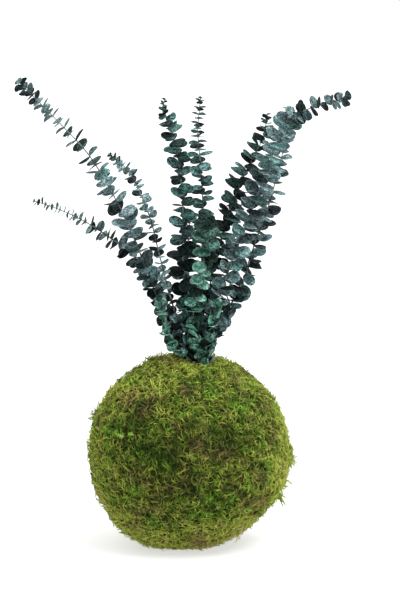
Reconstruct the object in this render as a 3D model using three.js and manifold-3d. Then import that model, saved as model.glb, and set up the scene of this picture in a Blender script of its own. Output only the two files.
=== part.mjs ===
// A kokedama: a ball of soil wrapped in sheet moss, planted with a bunch of baby blue eucalyptus sprigs.
// Millimetres, +Z up. The origin is the middle of the flat spot that the ball rests on. Its best side faces -Y.
import * as THREE from "three";
import { mergeVertices } from "three/addons/utils/BufferGeometryUtils.js";
import Module from "manifold-3d";

const wasm = await Module();
wasm.setup();

// The ball
const BALL_RADIUS = 101;
const BALL_CENTRE = new THREE.Vector3(0, 0, 93.5);
const BALL_SQUASH = 0.975; // the ball sags a little: its height over its width
const BALL_SIDES = 32;
const SKIN_BANDS = 18; // bands of faces on the outside, from the mouth's rim to the foot
const LINING_BANDS = 9; // and on the inside, where nothing shows
const MOSS_THICKNESS = 9.3;
const MOSS_LUMP = 0.7; // height of the moss's broad lumps
const MOSS_TUFT = 1.1; // and of its tufts
const GAP = 0.3; // clearance between pieces that touch on the real thing
const CROWN_DIP = 16; // how far the moss dips where the stems come out
const CROWN_SPREAD = 18;
const LINING_DIP = 14;
const LINING_SPREAD = 24;
const MOUTH_RADIUS = 13.5; // the hole that the moss leaves round the stems
const MOUTH_ANGLE = Math.asin(MOUTH_RADIUS / (BALL_RADIUS - CROWN_DIP));

// The bunch of stems
const NECK = new THREE.Vector3(9, -4, 172); // where the bunch leaves the soil
const STEM_PITCH = 4; // the stems stand side by side, as in a honeycomb
const STEM_FOOT_Z = 120;
const STEM_RADIUS = [1.35, 0.5]; // at the soil and at the tip, to the corners of the four-cornered stem
const BUNCH_FLARE = 1.2; // how much wider the bunch is at FLARE_HEIGHT above the soil
const FLARE_HEIGHT = 12;
const BONE_LENGTH = 5; // straight pieces that stand for a stem when a leaf looks for room

// The leaves
const BLADE_HALF = 0.35; // half the thickness of a blade
const NODE_HALF = 0.45; // half the height of a leaf's root on the stem
const FIRST_LEAF_Z = 181;
const TIP_BUD = 2; // distance from a stem's tip to its youngest pair
const PAIR_GAP = 3; // a pair's distance to the next is a length,
const PAIR_GAP_SHARE = 0.64; // and a share of the leaf's own length
const TIP_CROWDING = 0.68; // at the tip the pairs stand closer by this factor
const TIP_REACH = 40;
const YOUNG_REACH = 30; // leaves rise more within this distance of the tip,
const YOUNG_RISE = 14; // by this many degrees
const LOW_RISE = 56; // the lift of leaves that are crowded at the foot of the bunch
const LOW_ZONE = [195, 245]; // heights at which that begins to fade and is gone
const LARGE_LEAF = 15.5; // leaves longer than this have the finest outline
const SMALL_LEAF = 8;
const SMALLEST_LEAF = 3.2;
const LEAF_CLEARANCE = 0.45;
const MOSS_CLEARANCE = 1.6;
const OWN_STEM = 7; // a leaf ignores its own stem this near to its root

// What a leaf does when its place is taken: degrees more of lift, and a share of its size.
const BENDS = [
  [0, 1], [12, 0.95], [-14, 0.95], [24, 0.85], [0, 0.8], [34, 0.72], [12, 0.6], [28, 0.5], [-10, 0.45],
];

const MOSS_GREEN = 0x5b6a26;
const SOIL_BROWN = 0x2c2118;
const BLUE_GREY = 0x48676c;
const DARK_TEAL = 0x2e4a4b;
const SOFT_GREEN = 0x3f7563;

// The sprigs, in the order in which they take their places.
// foot: place in the bunch, in pitches. route: points the stem passes through. lift: degrees its leaves rise.
// sizes: leaf lengths, each after its distance from the tip.
const SPRIGS = [
  {
    name: "sprig_front", color: SOFT_GREEN, seed: 99, foot: [0, -2], phase: 15, lift: 24,
    sizes: [[0, 11], [20, 15], [60, 17], [120, 14], [160, 10]],
    route: [[6, -15, 205], [4, -26, 231], [10, -38, 265], [16, -47, 300], [17, -53, 333]],
  },
  {
    name: "sprig_front_left", color: SOFT_GREEN, seed: 110, foot: [-1, -2], phase: 40, lift: 28,
    sizes: [[0, 8], [20, 12], [60, 12], [90, 9]],
    route: [[-8, -18, 201], [-18, -28, 220], [-24, -35, 241], [-26, -40, 261]],
  },
  {
    name: "sprig_front_right", color: SOFT_GREEN, seed: 121, foot: [1, -2], phase: 70, lift: 28,
    sizes: [[0, 8], [20, 12], [60, 12], [90, 9]],
    route: [[16, -17, 202], [20, -29, 221], [27, -37, 243], [33, -42, 259]],
  },
  {
    name: "sprig_far_left", color: BLUE_GREY, seed: 11, foot: [-2, 0], phase: 20, lift: 14,
    sizes: [[0, 9], [60, 11], [95, 17], [130, 14], [175, 20], [215, 19], [260, 13], [340, 10]],
    route: [
      [-14, -2, 204], [-30, 4, 242], [-49, 10, 287], [-63, 14, 322], [-84, 18, 359], [-106, 21, 392],
      [-138, 25, 427], [-170, 28, 462],
    ],
  },
  {
    name: "sprig_long_right", color: BLUE_GREY, seed: 66, foot: [1.5, -1], phase: 60, lift: 14,
    sizes: [[0, 9], [40, 11], [60, 13], [80, 21], [150, 20], [240, 16], [340, 10]],
    route: [
      [18, -8, 202], [29, -15, 248], [49, -23, 304], [67, -28, 353], [85, -32, 396], [97, -34, 419],
      [116, -36, 434], [138, -38, 443], [157, -40, 449],
    ],
  },
  {
    name: "sprig_centre_left", color: DARK_TEAL, seed: 44, foot: [-0.5, -1], phase: 10, lift: 12,
    sizes: [[0, 5], [12, 9], [22, 13], [50, 17], [120, 16], [165, 20], [220, 15], [280, 10]],
    route: [
      [5, -8, 203], [0, -16, 257], [-3, -21, 299], [-5, -26, 344], [-10, -30, 388], [-18, -33, 419],
      [-25, -34, 436], [-23, -35, 447],
    ],
  },
  {
    name: "sprig_centre", color: DARK_TEAL, seed: 55, foot: [0, 0], phase: 0, lift: 8,
    sizes: [[0, 5], [30, 8], [42, 11], [52, 18], [110, 13], [150, 15], [280, 10]],
    route: [[11, 3, 203], [13, 13, 278], [14, 20, 333], [12, 26, 377], [9, 29, 412], [12, 31, 447]],
  },
  {
    name: "sprig_slim_left", color: BLUE_GREY, seed: 22, foot: [-1.5, -1], phase: 5, lift: 20,
    sizes: [[0, 4], [25, 7], [45, 10], [110, 13], [160, 13], [240, 10]],
    route: [
      [-5, -9, 207], [-19, -21, 254], [-30, -32, 299], [-37, -38, 328], [-47, -44, 355], [-58, -48, 377],
      [-78, -52, 395],
    ],
  },
  {
    name: "sprig_outer_right", color: BLUE_GREY, seed: 88, foot: [2, 0], phase: 0, lift: 16,
    sizes: [[0, 4], [20, 8], [50, 10], [90, 16], [130, 12], [200, 12], [240, 15], [330, 10]],
    route: [
      [25, 4, 199], [46, 10, 235], [61, 14, 268], [70, 16, 301], [81, 18, 336], [90, 18, 369],
      [96, 16, 400], [98, 12, 437],
    ],
  },
  {
    name: "sprig_inner_right", color: DARK_TEAL, seed: 77, foot: [1.5, 1], phase: 30, lift: 16,
    sizes: [[0, 5], [30, 11], [60, 14], [120, 16], [200, 14], [300, 10]],
    route: [[18, 11, 203], [23, 29, 261], [36, 43, 303], [52, 53, 346], [70, 61, 386], [84, 68, 425]],
  },
  {
    name: "sprig_low_left", color: BLUE_GREY, seed: 33, foot: [-1.5, 1], phase: 50, lift: 16,
    sizes: [[0, 4], [50, 6], [75, 9], [100, 11], [160, 13], [260, 10]],
    route: [
      [-13, 6, 199], [-30, 18, 227], [-41, 32, 255], [-55, 40, 275], [-81, 50, 299], [-107, 58, 316],
      [-134, 64, 329], [-159, 70, 339],
    ],
  },
  {
    name: "sprig_back", color: DARK_TEAL, seed: 132, foot: [0, 2], phase: 25, lift: 20,
    sizes: [[0, 6], [25, 12], [60, 14], [150, 10]],
    route: [[8, 17, 200], [3, 36, 241], [-1, 54, 283], [1, 68, 321]],
  },
];

// The points of a leaf's rim, from one side of its root round the tip to the other: share of length, and side.
const RIMS = {
  large: [[0.1, -1], [0.42, -1], [0.78, -1], [1, 0], [0.78, 1], [0.42, 1], [0.1, 1]],
  middle: [[0.19, -1], [0.68, -1], [1, 0], [0.68, 1], [0.19, 1]],
  small: [[0.25, -1], [0.85, -1], [0.85, 1], [0.25, 1]],
};

const degrees = (x) => (x * Math.PI) / 180;
const mix = (a, b, t) => a + (b - a) * t;
const clamp = (t) => Math.min(1, Math.max(0, t));
const smooth = (t) => t * t * (3 - 2 * t);
const vector = (x, y, z) => new THREE.Vector3(x, y, z);

// The same draws every time: a linear congruential generator.
function dice(seed) {
  let state = seed;
  return (low, high) => {
    state = (Math.imul(state, 1664525) + 1013904223) >>> 0;
    return mix(low, high, state / 2 ** 32);
  };
}

// A radius's dip round the stems, for a direction from the ball's centre.
function dipAt(dir, depth, spread) {
  const crown = NECK.clone().sub(BALL_CENTRE).normalize();
  return depth * Math.exp(-(((BALL_RADIUS * crown.angleTo(dir)) / spread) ** 2));
}

// The moss lies in soft lumps, and dips round the stems.
function mossRadius(dir) {
  const { x, y, z } = dir;
  const lumps = Math.sin(5.1 * x + 1.1) * Math.cos(4.3 * y - 0.7) + Math.sin(4.7 * z + 2.3 * x - 0.4);
  const tufts = Math.sin(9.7 * x - 6.1 * z + 0.9) * Math.cos(8.3 * y + 3.9 * z + 1.7);
  return BALL_RADIUS + MOSS_LUMP * lumps + MOSS_TUFT * tufts - dipAt(dir, CROWN_DIP, CROWN_SPREAD);
}

const liningRadius = (dir) => BALL_RADIUS - MOSS_THICKNESS - dipAt(dir, LINING_DIP, LINING_SPREAD);
const soilRadius = (dir) => liningRadius(dir) - GAP;

// A direction from the ball's centre. Near the crown, the circles of one polar angle centre on the stems.
function direction(polar, turn) {
  const dir = new THREE.Vector3().setFromSphericalCoords(1, polar, turn);
  dir.set(dir.z, dir.x, dir.y);
  const lean = (smooth(clamp(1 - (2 * polar) / Math.PI)) * Math.cos(polar)) / (NECK.z - BALL_CENTRE.z);
  dir.x += lean * NECK.x;
  dir.y += lean * NECK.y;
  return dir.normalize();
}

// The points of the ball at one polar angle. A lowest height cuts the foot flat.
function ring(polar, radiusOf, lowest = -Infinity) {
  const isPole = polar === 0 || polar === Math.PI;
  return Array.from({ length: isPole ? 1 : BALL_SIDES }, (_, k) => {
    const dir = direction(polar, (2 * Math.PI * k) / BALL_SIDES);
    const point = dir.clone().multiplyScalar(radiusOf(dir));
    point.z = Math.max(point.z * BALL_SQUASH + BALL_CENTRE.z, lowest);
    point.x += BALL_CENTRE.x;
    point.y += BALL_CENTRE.y;
    return point;
  });
}

// Rings at even angles from one polar angle to another.
function rings(from, to, bands, radiusOf, lowest) {
  const angles = Array.from({ length: bands }, (_, i) => mix(from, to, i / bands));
  return [...angles, to].map((polar) => ring(polar, radiusOf, lowest));
}

function geometryOf(points, faces) {
  const geometry = new THREE.BufferGeometry().setFromPoints(points);
  geometry.setIndex(faces.flat());
  geometry.computeVertexNormals();
  return geometry;
}

// A closed surface over rings of points, from the top down on its outer side. A pole is a ring of one point.
function skin(loops) {
  const faces = [];
  let start = 0;
  for (let i = 0; i + 1 < loops.length; i++) {
    const next = start + loops[i].length;
    for (let k = 0; k < BALL_SIDES; k++) {
      const [a, b] = [k, k + 1].map((j) => start + (j % loops[i].length));
      const [d, c] = [k, k + 1].map((j) => next + (j % loops[i + 1].length));
      if (a !== b) faces.push([a, c, b]);
      if (c !== d) faces.push([a, d, c]);
    }
    start = next;
  }
  return geometryOf(loops.flat(), faces);
}

// The moss, from its lining's pole up the inside, over the mouth's rim and down the outside.
function mossCover() {
  const lining = rings(Math.PI, MOUTH_ANGLE, LINING_BANDS, liningRadius);
  return skin([...lining, ...rings(MOUTH_ANGLE, Math.PI, SKIN_BANDS, mossRadius, 0)]);
}

function toManifold(geometry) {
  const bare = geometry.clone();
  bare.deleteAttribute("normal");
  bare.deleteAttribute("uv");
  const { attributes, index } = mergeVertices(bare);
  const vertProperties = new Float32Array(attributes.position.array);
  const triVerts = new Uint32Array(index.array);
  return new wasm.Manifold(new wasm.Mesh({ numProp: 3, vertProperties, triVerts }));
}

function toGeometry(solid) {
  const { vertProperties, triVerts } = solid.getMesh();
  const geometry = new THREE.BufferGeometry();
  geometry.setAttribute("position", new THREE.BufferAttribute(new Float32Array(vertProperties), 3));
  geometry.setIndex(new THREE.BufferAttribute(new Uint32Array(triVerts), 1));
  geometry.computeVertexNormals();
  return geometry;
}

// Where a sprig stands in the bunch.
function footOf({ foot: [across, back] }) {
  return vector(NECK.x + STEM_PITCH * across, NECK.y + STEM_PITCH * Math.sqrt(0.75) * back, STEM_FOOT_Z);
}

// The soil fills the moss, and has a plain hole for each stem.
function soilBall() {
  const top = ring(0, soilRadius);
  let soil = toManifold(skin([top, ...rings(MOUTH_ANGLE, Math.PI, LINING_BANDS, soilRadius)]));
  const side = 2 * (STEM_RADIUS[0] * Math.SQRT1_2 + GAP);
  for (const sprig of SPRIGS) {
    const hole = new THREE.BoxGeometry(side, side, BALL_RADIUS);
    const foot = footOf(sprig);
    hole.rotateZ(degrees(sprig.phase));
    hole.translate(foot.x, foot.y, foot.z - GAP + BALL_RADIUS / 2);
    soil = soil.subtract(toManifold(hole));
  }
  return toGeometry(soil);
}

// A stem's centre line, from the soil's top to its tip.
function centreLine(sprig) {
  const start = footOf(sprig).setZ(NECK.z);
  const flare = start.clone().sub(NECK).multiplyScalar(BUNCH_FLARE).add(NECK);
  flare.z += FLARE_HEIGHT;
  const route = sprig.route.map((point) => vector(...point));
  return new THREE.CatmullRomCurve3([start, flare, ...route], false, "catmullrom", 0.5);
}

function leafLength(sizes, fromTip) {
  const next = sizes.findIndex(([distance]) => distance > fromTip);
  if (next < 0) return sizes.at(-1)[1];
  const [[d0, l0], [d1, l1]] = sizes.slice(next - 1);
  return mix(l0, l1, (fromTip - d0) / (d1 - d0));
}

// The leaf pairs along a stem, from the lowest up. pointAt gives the stem's points by their distance along it.
function pairsOf(sprig, pointAt, length) {
  const pairs = [];
  let fromTip = TIP_BUD;
  while (pointAt(length - fromTip).z > FIRST_LEAF_Z) {
    const size = leafLength(sprig.sizes, fromTip);
    pairs.unshift({ at: length - fromTip, size, fromTip });
    fromTip += (PAIR_GAP + PAIR_GAP_SHARE * size) * mix(TIP_CROWDING, 1, clamp(fromTip / TIP_REACH));
  }
  return pairs;
}

// What sets one leaf apart from the next.
const leafWhims = (draw) => ({
  lift: draw(-16, 16),
  roll: draw(-36, 36),
  curl: draw(0.02, 0.2),
  cup: draw(0.1, 0.3),
  length: draw(0.95, 1.12),
  width: draw(0.92, 1.1),
});

// A stem with the place of each leaf pair: the stem's own direction there, and a normal carried along it.
function stemOf(sprig) {
  const curve = centreLine(sprig);
  const length = curve.getLength();
  const draw = dice(sprig.seed);
  const pointAt = (at) => curve.getPointAt(clamp(at / length));
  const normal = vector(1, 0, 0);
  let twist = degrees(sprig.phase);
  const pairs = pairsOf(sprig, pointAt, length).map((pair) => {
    const along = pointAt(pair.at + 1).sub(pointAt(pair.at - 1)).normalize();
    normal.addScaledVector(along, -normal.dot(along)).normalize();
    twist += degrees(draw(-9, 9));
    return {
      ...pair,
      along,
      twist,
      normal: normal.clone(),
      across: along.clone().cross(normal),
      centre: pointAt(pair.at),
      radius: mix(...STEM_RADIUS, pair.at / length),
      ends: [pointAt(pair.at - NODE_HALF), pointAt(pair.at + NODE_HALF)],
      whims: [leafWhims(draw), leafWhims(draw)],
    };
  });
  const joints = curve.getSpacedPoints(Math.ceil(length / BONE_LENGTH));
  return { sprig, pairs, tip: pointAt(length), bones: joints.slice(1).map((end, i) => [joints[i], end]) };
}

// Half the width of a leaf along its length, as a share of its half width: broad and round, with a blunt tip.
const leafOutline = (s) => Math.sin(Math.PI * s ** 0.85) ** 0.55;

const rimOf = (length) => (length > LARGE_LEAF ? RIMS.large : length > SMALL_LEAF ? RIMS.middle : RIMS.small);

// A leaf on one side of its pair: its axis runs out along the blade, and its face points up from it.
function makeLeaf(pair, side, lift, share, whims) {
  const turn = pair.twist + (side * Math.PI) / 2;
  const out = pair.normal.clone().multiplyScalar(Math.cos(turn)).addScaledVector(pair.across, Math.sin(turn));
  const axis = out.clone().multiplyScalar(Math.cos(lift)).addScaledVector(pair.along, Math.sin(lift));
  const face = pair.along.clone().multiplyScalar(Math.cos(lift)).addScaledVector(out, -Math.sin(lift));
  face.applyAxisAngle(axis, degrees(whims.roll));
  const length = pair.size * whims.length * share;
  const stemHalf = pair.radius * Math.SQRT1_2;
  const root = pair.centre.clone().addScaledVector(out, stemHalf);
  const wide = face.clone().cross(axis);
  const { curl, cup } = whims;
  return { pair, side, root, axis, face, wide, length, width: length * whims.width, stemHalf, curl, cup };
}

// A point of a leaf at a share of its length, on its midrib (side 0) or its rim (side -1 or 1).
function leafPoint(leaf, s, side) {
  const half = 0.5 * leaf.width * leafOutline(s);
  return leaf.root
    .clone()
    .addScaledVector(leaf.axis, leaf.length * s)
    .addScaledVector(leaf.wide, half * side)
    .addScaledVector(leaf.face, leaf.length * leaf.curl * s * s + leaf.cup * half * Math.abs(side));
}

// Two fans of triangles from the corners of a leaf's root, which meet along its midrib.
function bladeFaces(count) {
  const tip = Math.floor(count / 2);
  const faces = [[0, tip, count - 1]];
  for (let i = 1; i < tip; i++) faces.push([0, i, i + 1]);
  for (let i = tip; i < count - 2; i++) faces.push([i, i + 1, count - 1]);
  return faces;
}

const shifted = (points, dir, by) => points.map((point) => point.clone().addScaledVector(dir, by));

// A blade made fatter all round, with its edges and faces, for seeing whether it has room.
function fatBlade(leaf, fat) {
  const middle = leafPoint(leaf, 0.5, 0);
  const start = leaf.root.clone().addScaledVector(leaf.axis, fat);
  const corners = [-1, 1].map((side) => start.clone().addScaledVector(leaf.wide, side * leaf.stemHalf));
  const rim = rimOf(leaf.length).map(([s, side]) => leafPoint(leaf, s, side));
  const outline = [corners[0], ...rim, corners[1]];
  const grown = outline.map((p) => p.clone().add(p.clone().sub(middle).setLength(fat)));
  const half = BLADE_HALF + fat;
  const [low, high] = [-half, half].map((up) => shifted(grown, leaf.face, up));
  const faces = bladeFaces(grown.length).flatMap((f) => [f.map((i) => low[i]), f.map((i) => high[i])]);
  const edges = [];
  grown.forEach((_, i) => {
    const j = (i + 1) % grown.length;
    faces.push([low[i], low[j], high[j]], [low[i], high[j], high[i]]);
    edges.push([low[i], low[j]], [high[i], high[j]], [low[i], high[i]]);
  });
  return { faces, edges, box: new THREE.Box3().setFromPoints([...low, ...high]) };
}

// Whether the line from p to q passes through the triangle a, b, c.
const ray = new THREE.Ray();
const hit = new THREE.Vector3();
function pierces([p, q], [a, b, c]) {
  ray.origin.copy(p);
  ray.direction.copy(q).sub(p).normalize();
  return ray.intersectTriangle(a, b, c, false, hit) !== null && hit.distanceTo(p) <= p.distanceTo(q);
}

const cuts = (lines, faces) => lines.some((line) => faces.some((face) => pierces(line, face)));

function meet(one, other) {
  return one.box.intersectsBox(other.box) && (cuts(one.edges, other.faces) || cuts(other.edges, one.faces));
}

function isClearOfMoss(leaf) {
  return rimOf(leaf.length).every(([s, side]) => {
    const from = leafPoint(leaf, s, side).sub(BALL_CENTRE);
    from.z /= BALL_SQUASH;
    return from.length() > mossRadius(from.clone().normalize()) + MOSS_CLEARANCE;
  });
}

function isClearOfStems(leaf, stems) {
  const { faces } = fatBlade(leaf, LEAF_CLEARANCE + STEM_RADIUS[0]);
  const isFar = (bone) => bone.every((end) => end.distanceTo(leaf.root) > OWN_STEM);
  return stems.every(({ pairs, bones }) => {
    const others = pairs.includes(leaf.pair) ? bones.filter(isFar) : bones;
    return !cuts(others, faces);
  });
}

// Every leaf of every sprig. A leaf whose place is taken bends up or down and stays smaller, or isn't there.
function growLeaves(stems) {
  const grown = [];
  for (const { sprig, pairs } of stems)
    pairs.forEach((pair, i) => {
      const crowding = smooth(clamp((LOW_ZONE[1] - pair.centre.z) / (LOW_ZONE[1] - LOW_ZONE[0])));
      const youth = clamp(1 - pair.fromTip / YOUNG_REACH);
      const rise = mix(sprig.lift + YOUNG_RISE * youth, LOW_RISE, crowding);
      pair.leaves = [null, null, null, null];
      pair.whims.forEach((whims, j) => {
        const side = (i % 2) + 2 * j;
        for (const [bend, share] of BENDS) {
          const leaf = makeLeaf(pair, side, degrees(rise + whims.lift + bend), share, whims);
          if (leaf.length < SMALLEST_LEAF || !isClearOfMoss(leaf) || !isClearOfStems(leaf, stems)) continue;
          leaf.blade = fatBlade(leaf, LEAF_CLEARANCE);
          if (grown.some((other) => other.pair !== pair && meet(leaf.blade, other.blade))) continue;
          pair.leaves[side] = leaf;
          grown.push(leaf);
          return;
        }
      });
    });
}

// One sprig as one body: a four-cornered stem, and leaves that grow out of its sides.
function sprigGeometry({ sprig, pairs, tip }) {
  const points = [];
  const faces = [];
  const put = (list) => list.map((point) => points.push(point) - 1);
  const square = (centre, { normal, across, twist, radius }) =>
    put([-1, 1, 3, 5].map((eighth) => {
      const turn = twist + (eighth * Math.PI) / 4;
      return centre
        .clone()
        .addScaledVector(normal, radius * Math.cos(turn))
        .addScaledVector(across, radius * Math.sin(turn));
    }));
  const strip = (low, high) => {
    for (let i = 0; i + 1 < low.length; i++)
      faces.push([low[i], low[i + 1], high[i + 1]], [low[i], high[i + 1], high[i]]);
  };
  const walls = (low, high, leaves = []) =>
    low.forEach((_, k) => {
      const m = (k + 1) % 4;
      if (!leaves[k]) strip([low[k], low[m]], [high[k], high[m]]);
    });
  const blade = (leaf, low, high) => {
    const m = (leaf.side + 1) % 4;
    const rim = rimOf(leaf.length).map(([s, side]) => leafPoint(leaf, s, side));
    const lower = [low[leaf.side], ...put(shifted(rim, leaf.face, -BLADE_HALF)), low[m]];
    const upper = [high[leaf.side], ...put(shifted(rim, leaf.face, BLADE_HALF)), high[m]];
    for (const [a, b, c] of bladeFaces(lower.length))
      faces.push([upper[a], upper[b], upper[c]], [lower[a], lower[c], lower[b]]);
    strip(lower, upper);
  };

  const upright = {
    normal: vector(1, 0, 0), across: vector(0, 1, 0), twist: degrees(sprig.phase), radius: STEM_RADIUS[0],
  };
  const foot = square(footOf(sprig), upright);
  faces.push([foot[0], foot[2], foot[1]], [foot[0], foot[3], foot[2]]);
  let last = square(footOf(sprig).setZ(NECK.z), upright);
  walls(foot, last);
  for (const pair of pairs) {
    const [low, high] = pair.ends.map((end) => square(end, pair));
    walls(last, low);
    walls(low, high, pair.leaves);
    pair.leaves.filter(Boolean).forEach((leaf) => blade(leaf, low, high));
    last = high;
  }
  const [top] = put([tip]);
  last.forEach((corner, k) => faces.push([corner, last[(k + 1) % 4], top]));
  return geometryOf(points, faces);
}

const kokedama = new THREE.Group();

function add(name, geometry, color, roughness) {
  const mesh = new THREE.Mesh(geometry, new THREE.MeshStandardMaterial({ color, roughness, metalness: 0 }));
  mesh.name = name;
  kokedama.add(mesh);
}

add("moss_cover", mossCover(), MOSS_GREEN, 1);
add("soil_ball", soilBall(), SOIL_BROWN, 1);
const stems = SPRIGS.map(stemOf);
growLeaves(stems);
for (const stem of stems) add(stem.sprig.name, sprigGeometry(stem), stem.sprig.color, 0.75);

export default kokedama;
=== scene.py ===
"""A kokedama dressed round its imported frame: a soil ball in sheet moss, with sprigs of baby blue eucalyptus.

Sizes are in millimetres, as on the frame's drawing, and become metres when a mesh is made.
"""

import math
from functools import partial

import bpy
import numpy as np
from bpy.props import FloatProperty, FloatVectorProperty, IntProperty, PointerProperty
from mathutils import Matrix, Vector
from mathutils.bvhtree import BVHTree


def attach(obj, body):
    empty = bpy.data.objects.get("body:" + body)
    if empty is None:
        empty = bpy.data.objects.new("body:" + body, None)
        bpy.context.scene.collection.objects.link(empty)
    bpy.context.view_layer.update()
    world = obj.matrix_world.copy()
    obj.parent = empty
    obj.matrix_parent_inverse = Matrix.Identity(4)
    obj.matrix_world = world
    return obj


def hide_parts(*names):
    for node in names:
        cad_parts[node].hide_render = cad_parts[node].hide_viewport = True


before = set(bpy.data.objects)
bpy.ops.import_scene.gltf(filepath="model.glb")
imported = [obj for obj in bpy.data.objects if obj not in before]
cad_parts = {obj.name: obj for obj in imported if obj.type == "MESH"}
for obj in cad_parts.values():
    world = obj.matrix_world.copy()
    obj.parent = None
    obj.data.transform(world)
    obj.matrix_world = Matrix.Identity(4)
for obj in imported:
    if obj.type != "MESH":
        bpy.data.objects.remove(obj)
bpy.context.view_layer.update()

bl_info = {
    "name": "Kokedama",
    "version": (1, 0, 0),
    "blender": (4, 5, 0),
    "location": "3D View > Sidebar > Kokedama",
    "description": "Grows a moss ball planted with baby blue eucalyptus sprigs",
    "category": "Add Mesh",
}

MM = 0.001
BODY = "root"

# The ball
BALL_RADIUS = 101
BALL_CENTRE = np.array((0, 0, 93.5))
BALL_SQUASH = 0.975  # its height over its width
MOSS_THICKNESS = 9.3
MOSS_LUMP, MOSS_TUFT = 0.7, 1.1  # heights of the moss's broad lumps and of its tufts
CROWN_DIP, CROWN_SPREAD = 16, 18  # how far the moss dips where the stems come out, and over what reach
LINING_DIP, LINING_SPREAD = 14, 24  # and the same for the moss's inner side
MOUTH_RADIUS = 12.5
MOUTH_ANGLE = math.asin(MOUTH_RADIUS / (BALL_RADIUS - CROWN_DIP))
LAST_FROND_ANGLE = 0.955 * math.pi  # no fronds grow on the spot that the ball rests on
BED_SIDES = 128
BED_BANDS = 64
LINING_BANDS = 12
BED_DEPTH = 2.4  # the matted bed lies this far under the fronds' crests
BED_FOLD = 1.4  # the height of its folds
FOOT_FADE = 3.0  # fronds lower than this are pressed flat by the surface that the ball rests on
ROOT_DEPTH = 1.2  # the fronds and strands are rooted this far under the bed's surface

# The first seed of the frond samples, of the layers, of what is drawn for each frond, and of the shoots
SAMPLE_SEED, LAYER_SEED, DRAW_SEED, SHOOT_SEED = 7, 5, 10, 31

# Directions from the ball's centre in which a tuft stands out, and its reach in radians
TUFTS = [
    (1, 0.05, -0.1), (0.93, -0.1, -0.36), (0.86, -0.05, -0.5), (0.58, 0.05, -0.8), (-0.94, 0.1, 0.35),
    (-0.4, 0, 0.92), (-0.32, -0.05, 0.95),
]
TUFT_SPREAD = 0.055

# Young shoots that stand out of the moss: direction from the ball's centre, the way it points, and its length
SHOOTS = [
    ((0.9, 0, -0.43), (0.38, -0.1, -0.9), 18), ((0.89, -0.05, -0.44), (0.8, 0, -0.5), 12),
    ((0.9, 0.02, -0.42), (0.08, -0.1, -1), 13), ((0.955, 0, -0.29), (0.6, -0.1, -0.7), 12),
    ((-0.6, -0.74, 0.28), (-0.9, -0.35, 0.1), 12), ((-0.6, -0.74, 0.28), (0.8, -0.4, 0.45), 12),
    ((0.53, -0.73, -0.45), (-0.9, -0.3, 0.1), 8), ((0.53, -0.73, -0.45), (0.8, -0.1, 0.1), 8),
    ((0.53, -0.73, -0.45), (0.1, -0.7, -0.8), 7), ((-0.97, 0, 0.33), (-0.8, 0, 0.5), 9),
    ((-0.36, -0.05, 0.93), (-0.9, 0, 0.1), 9), ((0.6, 0, -0.8), (0.55, 0, -0.8), 10),
    ((0.88, -0.03, -0.46), (0.6, -0.1, -0.78), 17), ((0.89, 0.01, -0.44), (0.25, -0.1, -0.95), 17),
    ((0.2, 0.85, 0.4), (0.4, 0.4, -0.8), 13), ((-0.5, 0.8, -0.1), (-0.8, 0.3, 0.5), 12),
    ((0.7, 0.6, 0.2), (0.8, 0.4, 0.5), 12), ((-0.9, 0.3, -0.3), (-0.7, 0, -0.7), 11),
]
SHOOT_GIRTH = 2.3  # how much stouter they are than the fronds
SHOOT_LOOKS = dict(reach=1, shade=0.8, age=-0.1, brown=0)  # what their points hold for the material

LEVEL_GRAIN = 0.5  # how strongly the moss is combed level, against along the ball's rim

# The moss's shades from the oldest, each after its place in the range; the freshest, at 1, are settings
FROND_PALETTE = {0.0: 0x40461F, 0.35: 0x6C7A33, 0.7: 0x9CAB46}
STRAND_PALETTE = {0.0: 0x4E5426, 0.3: 0x818D39, 0.65: 0xAEB950, 0.9: 0xC1C958}
SHOOT_PALETTE = {0.0: 0x4E7A2A, 0.5: 0x7EA440}

# What a colour is multiplied by, as linear light: dying moss, moist moss, and the greenest leaves
BROWN_TINT = (0.86, 0.64, 1.2, 1)
GREEN_TINT = (0.62, 0.94, 0.66, 1)
SEA_TINT = (0.55, 0.92, 0.8, 1)

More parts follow.
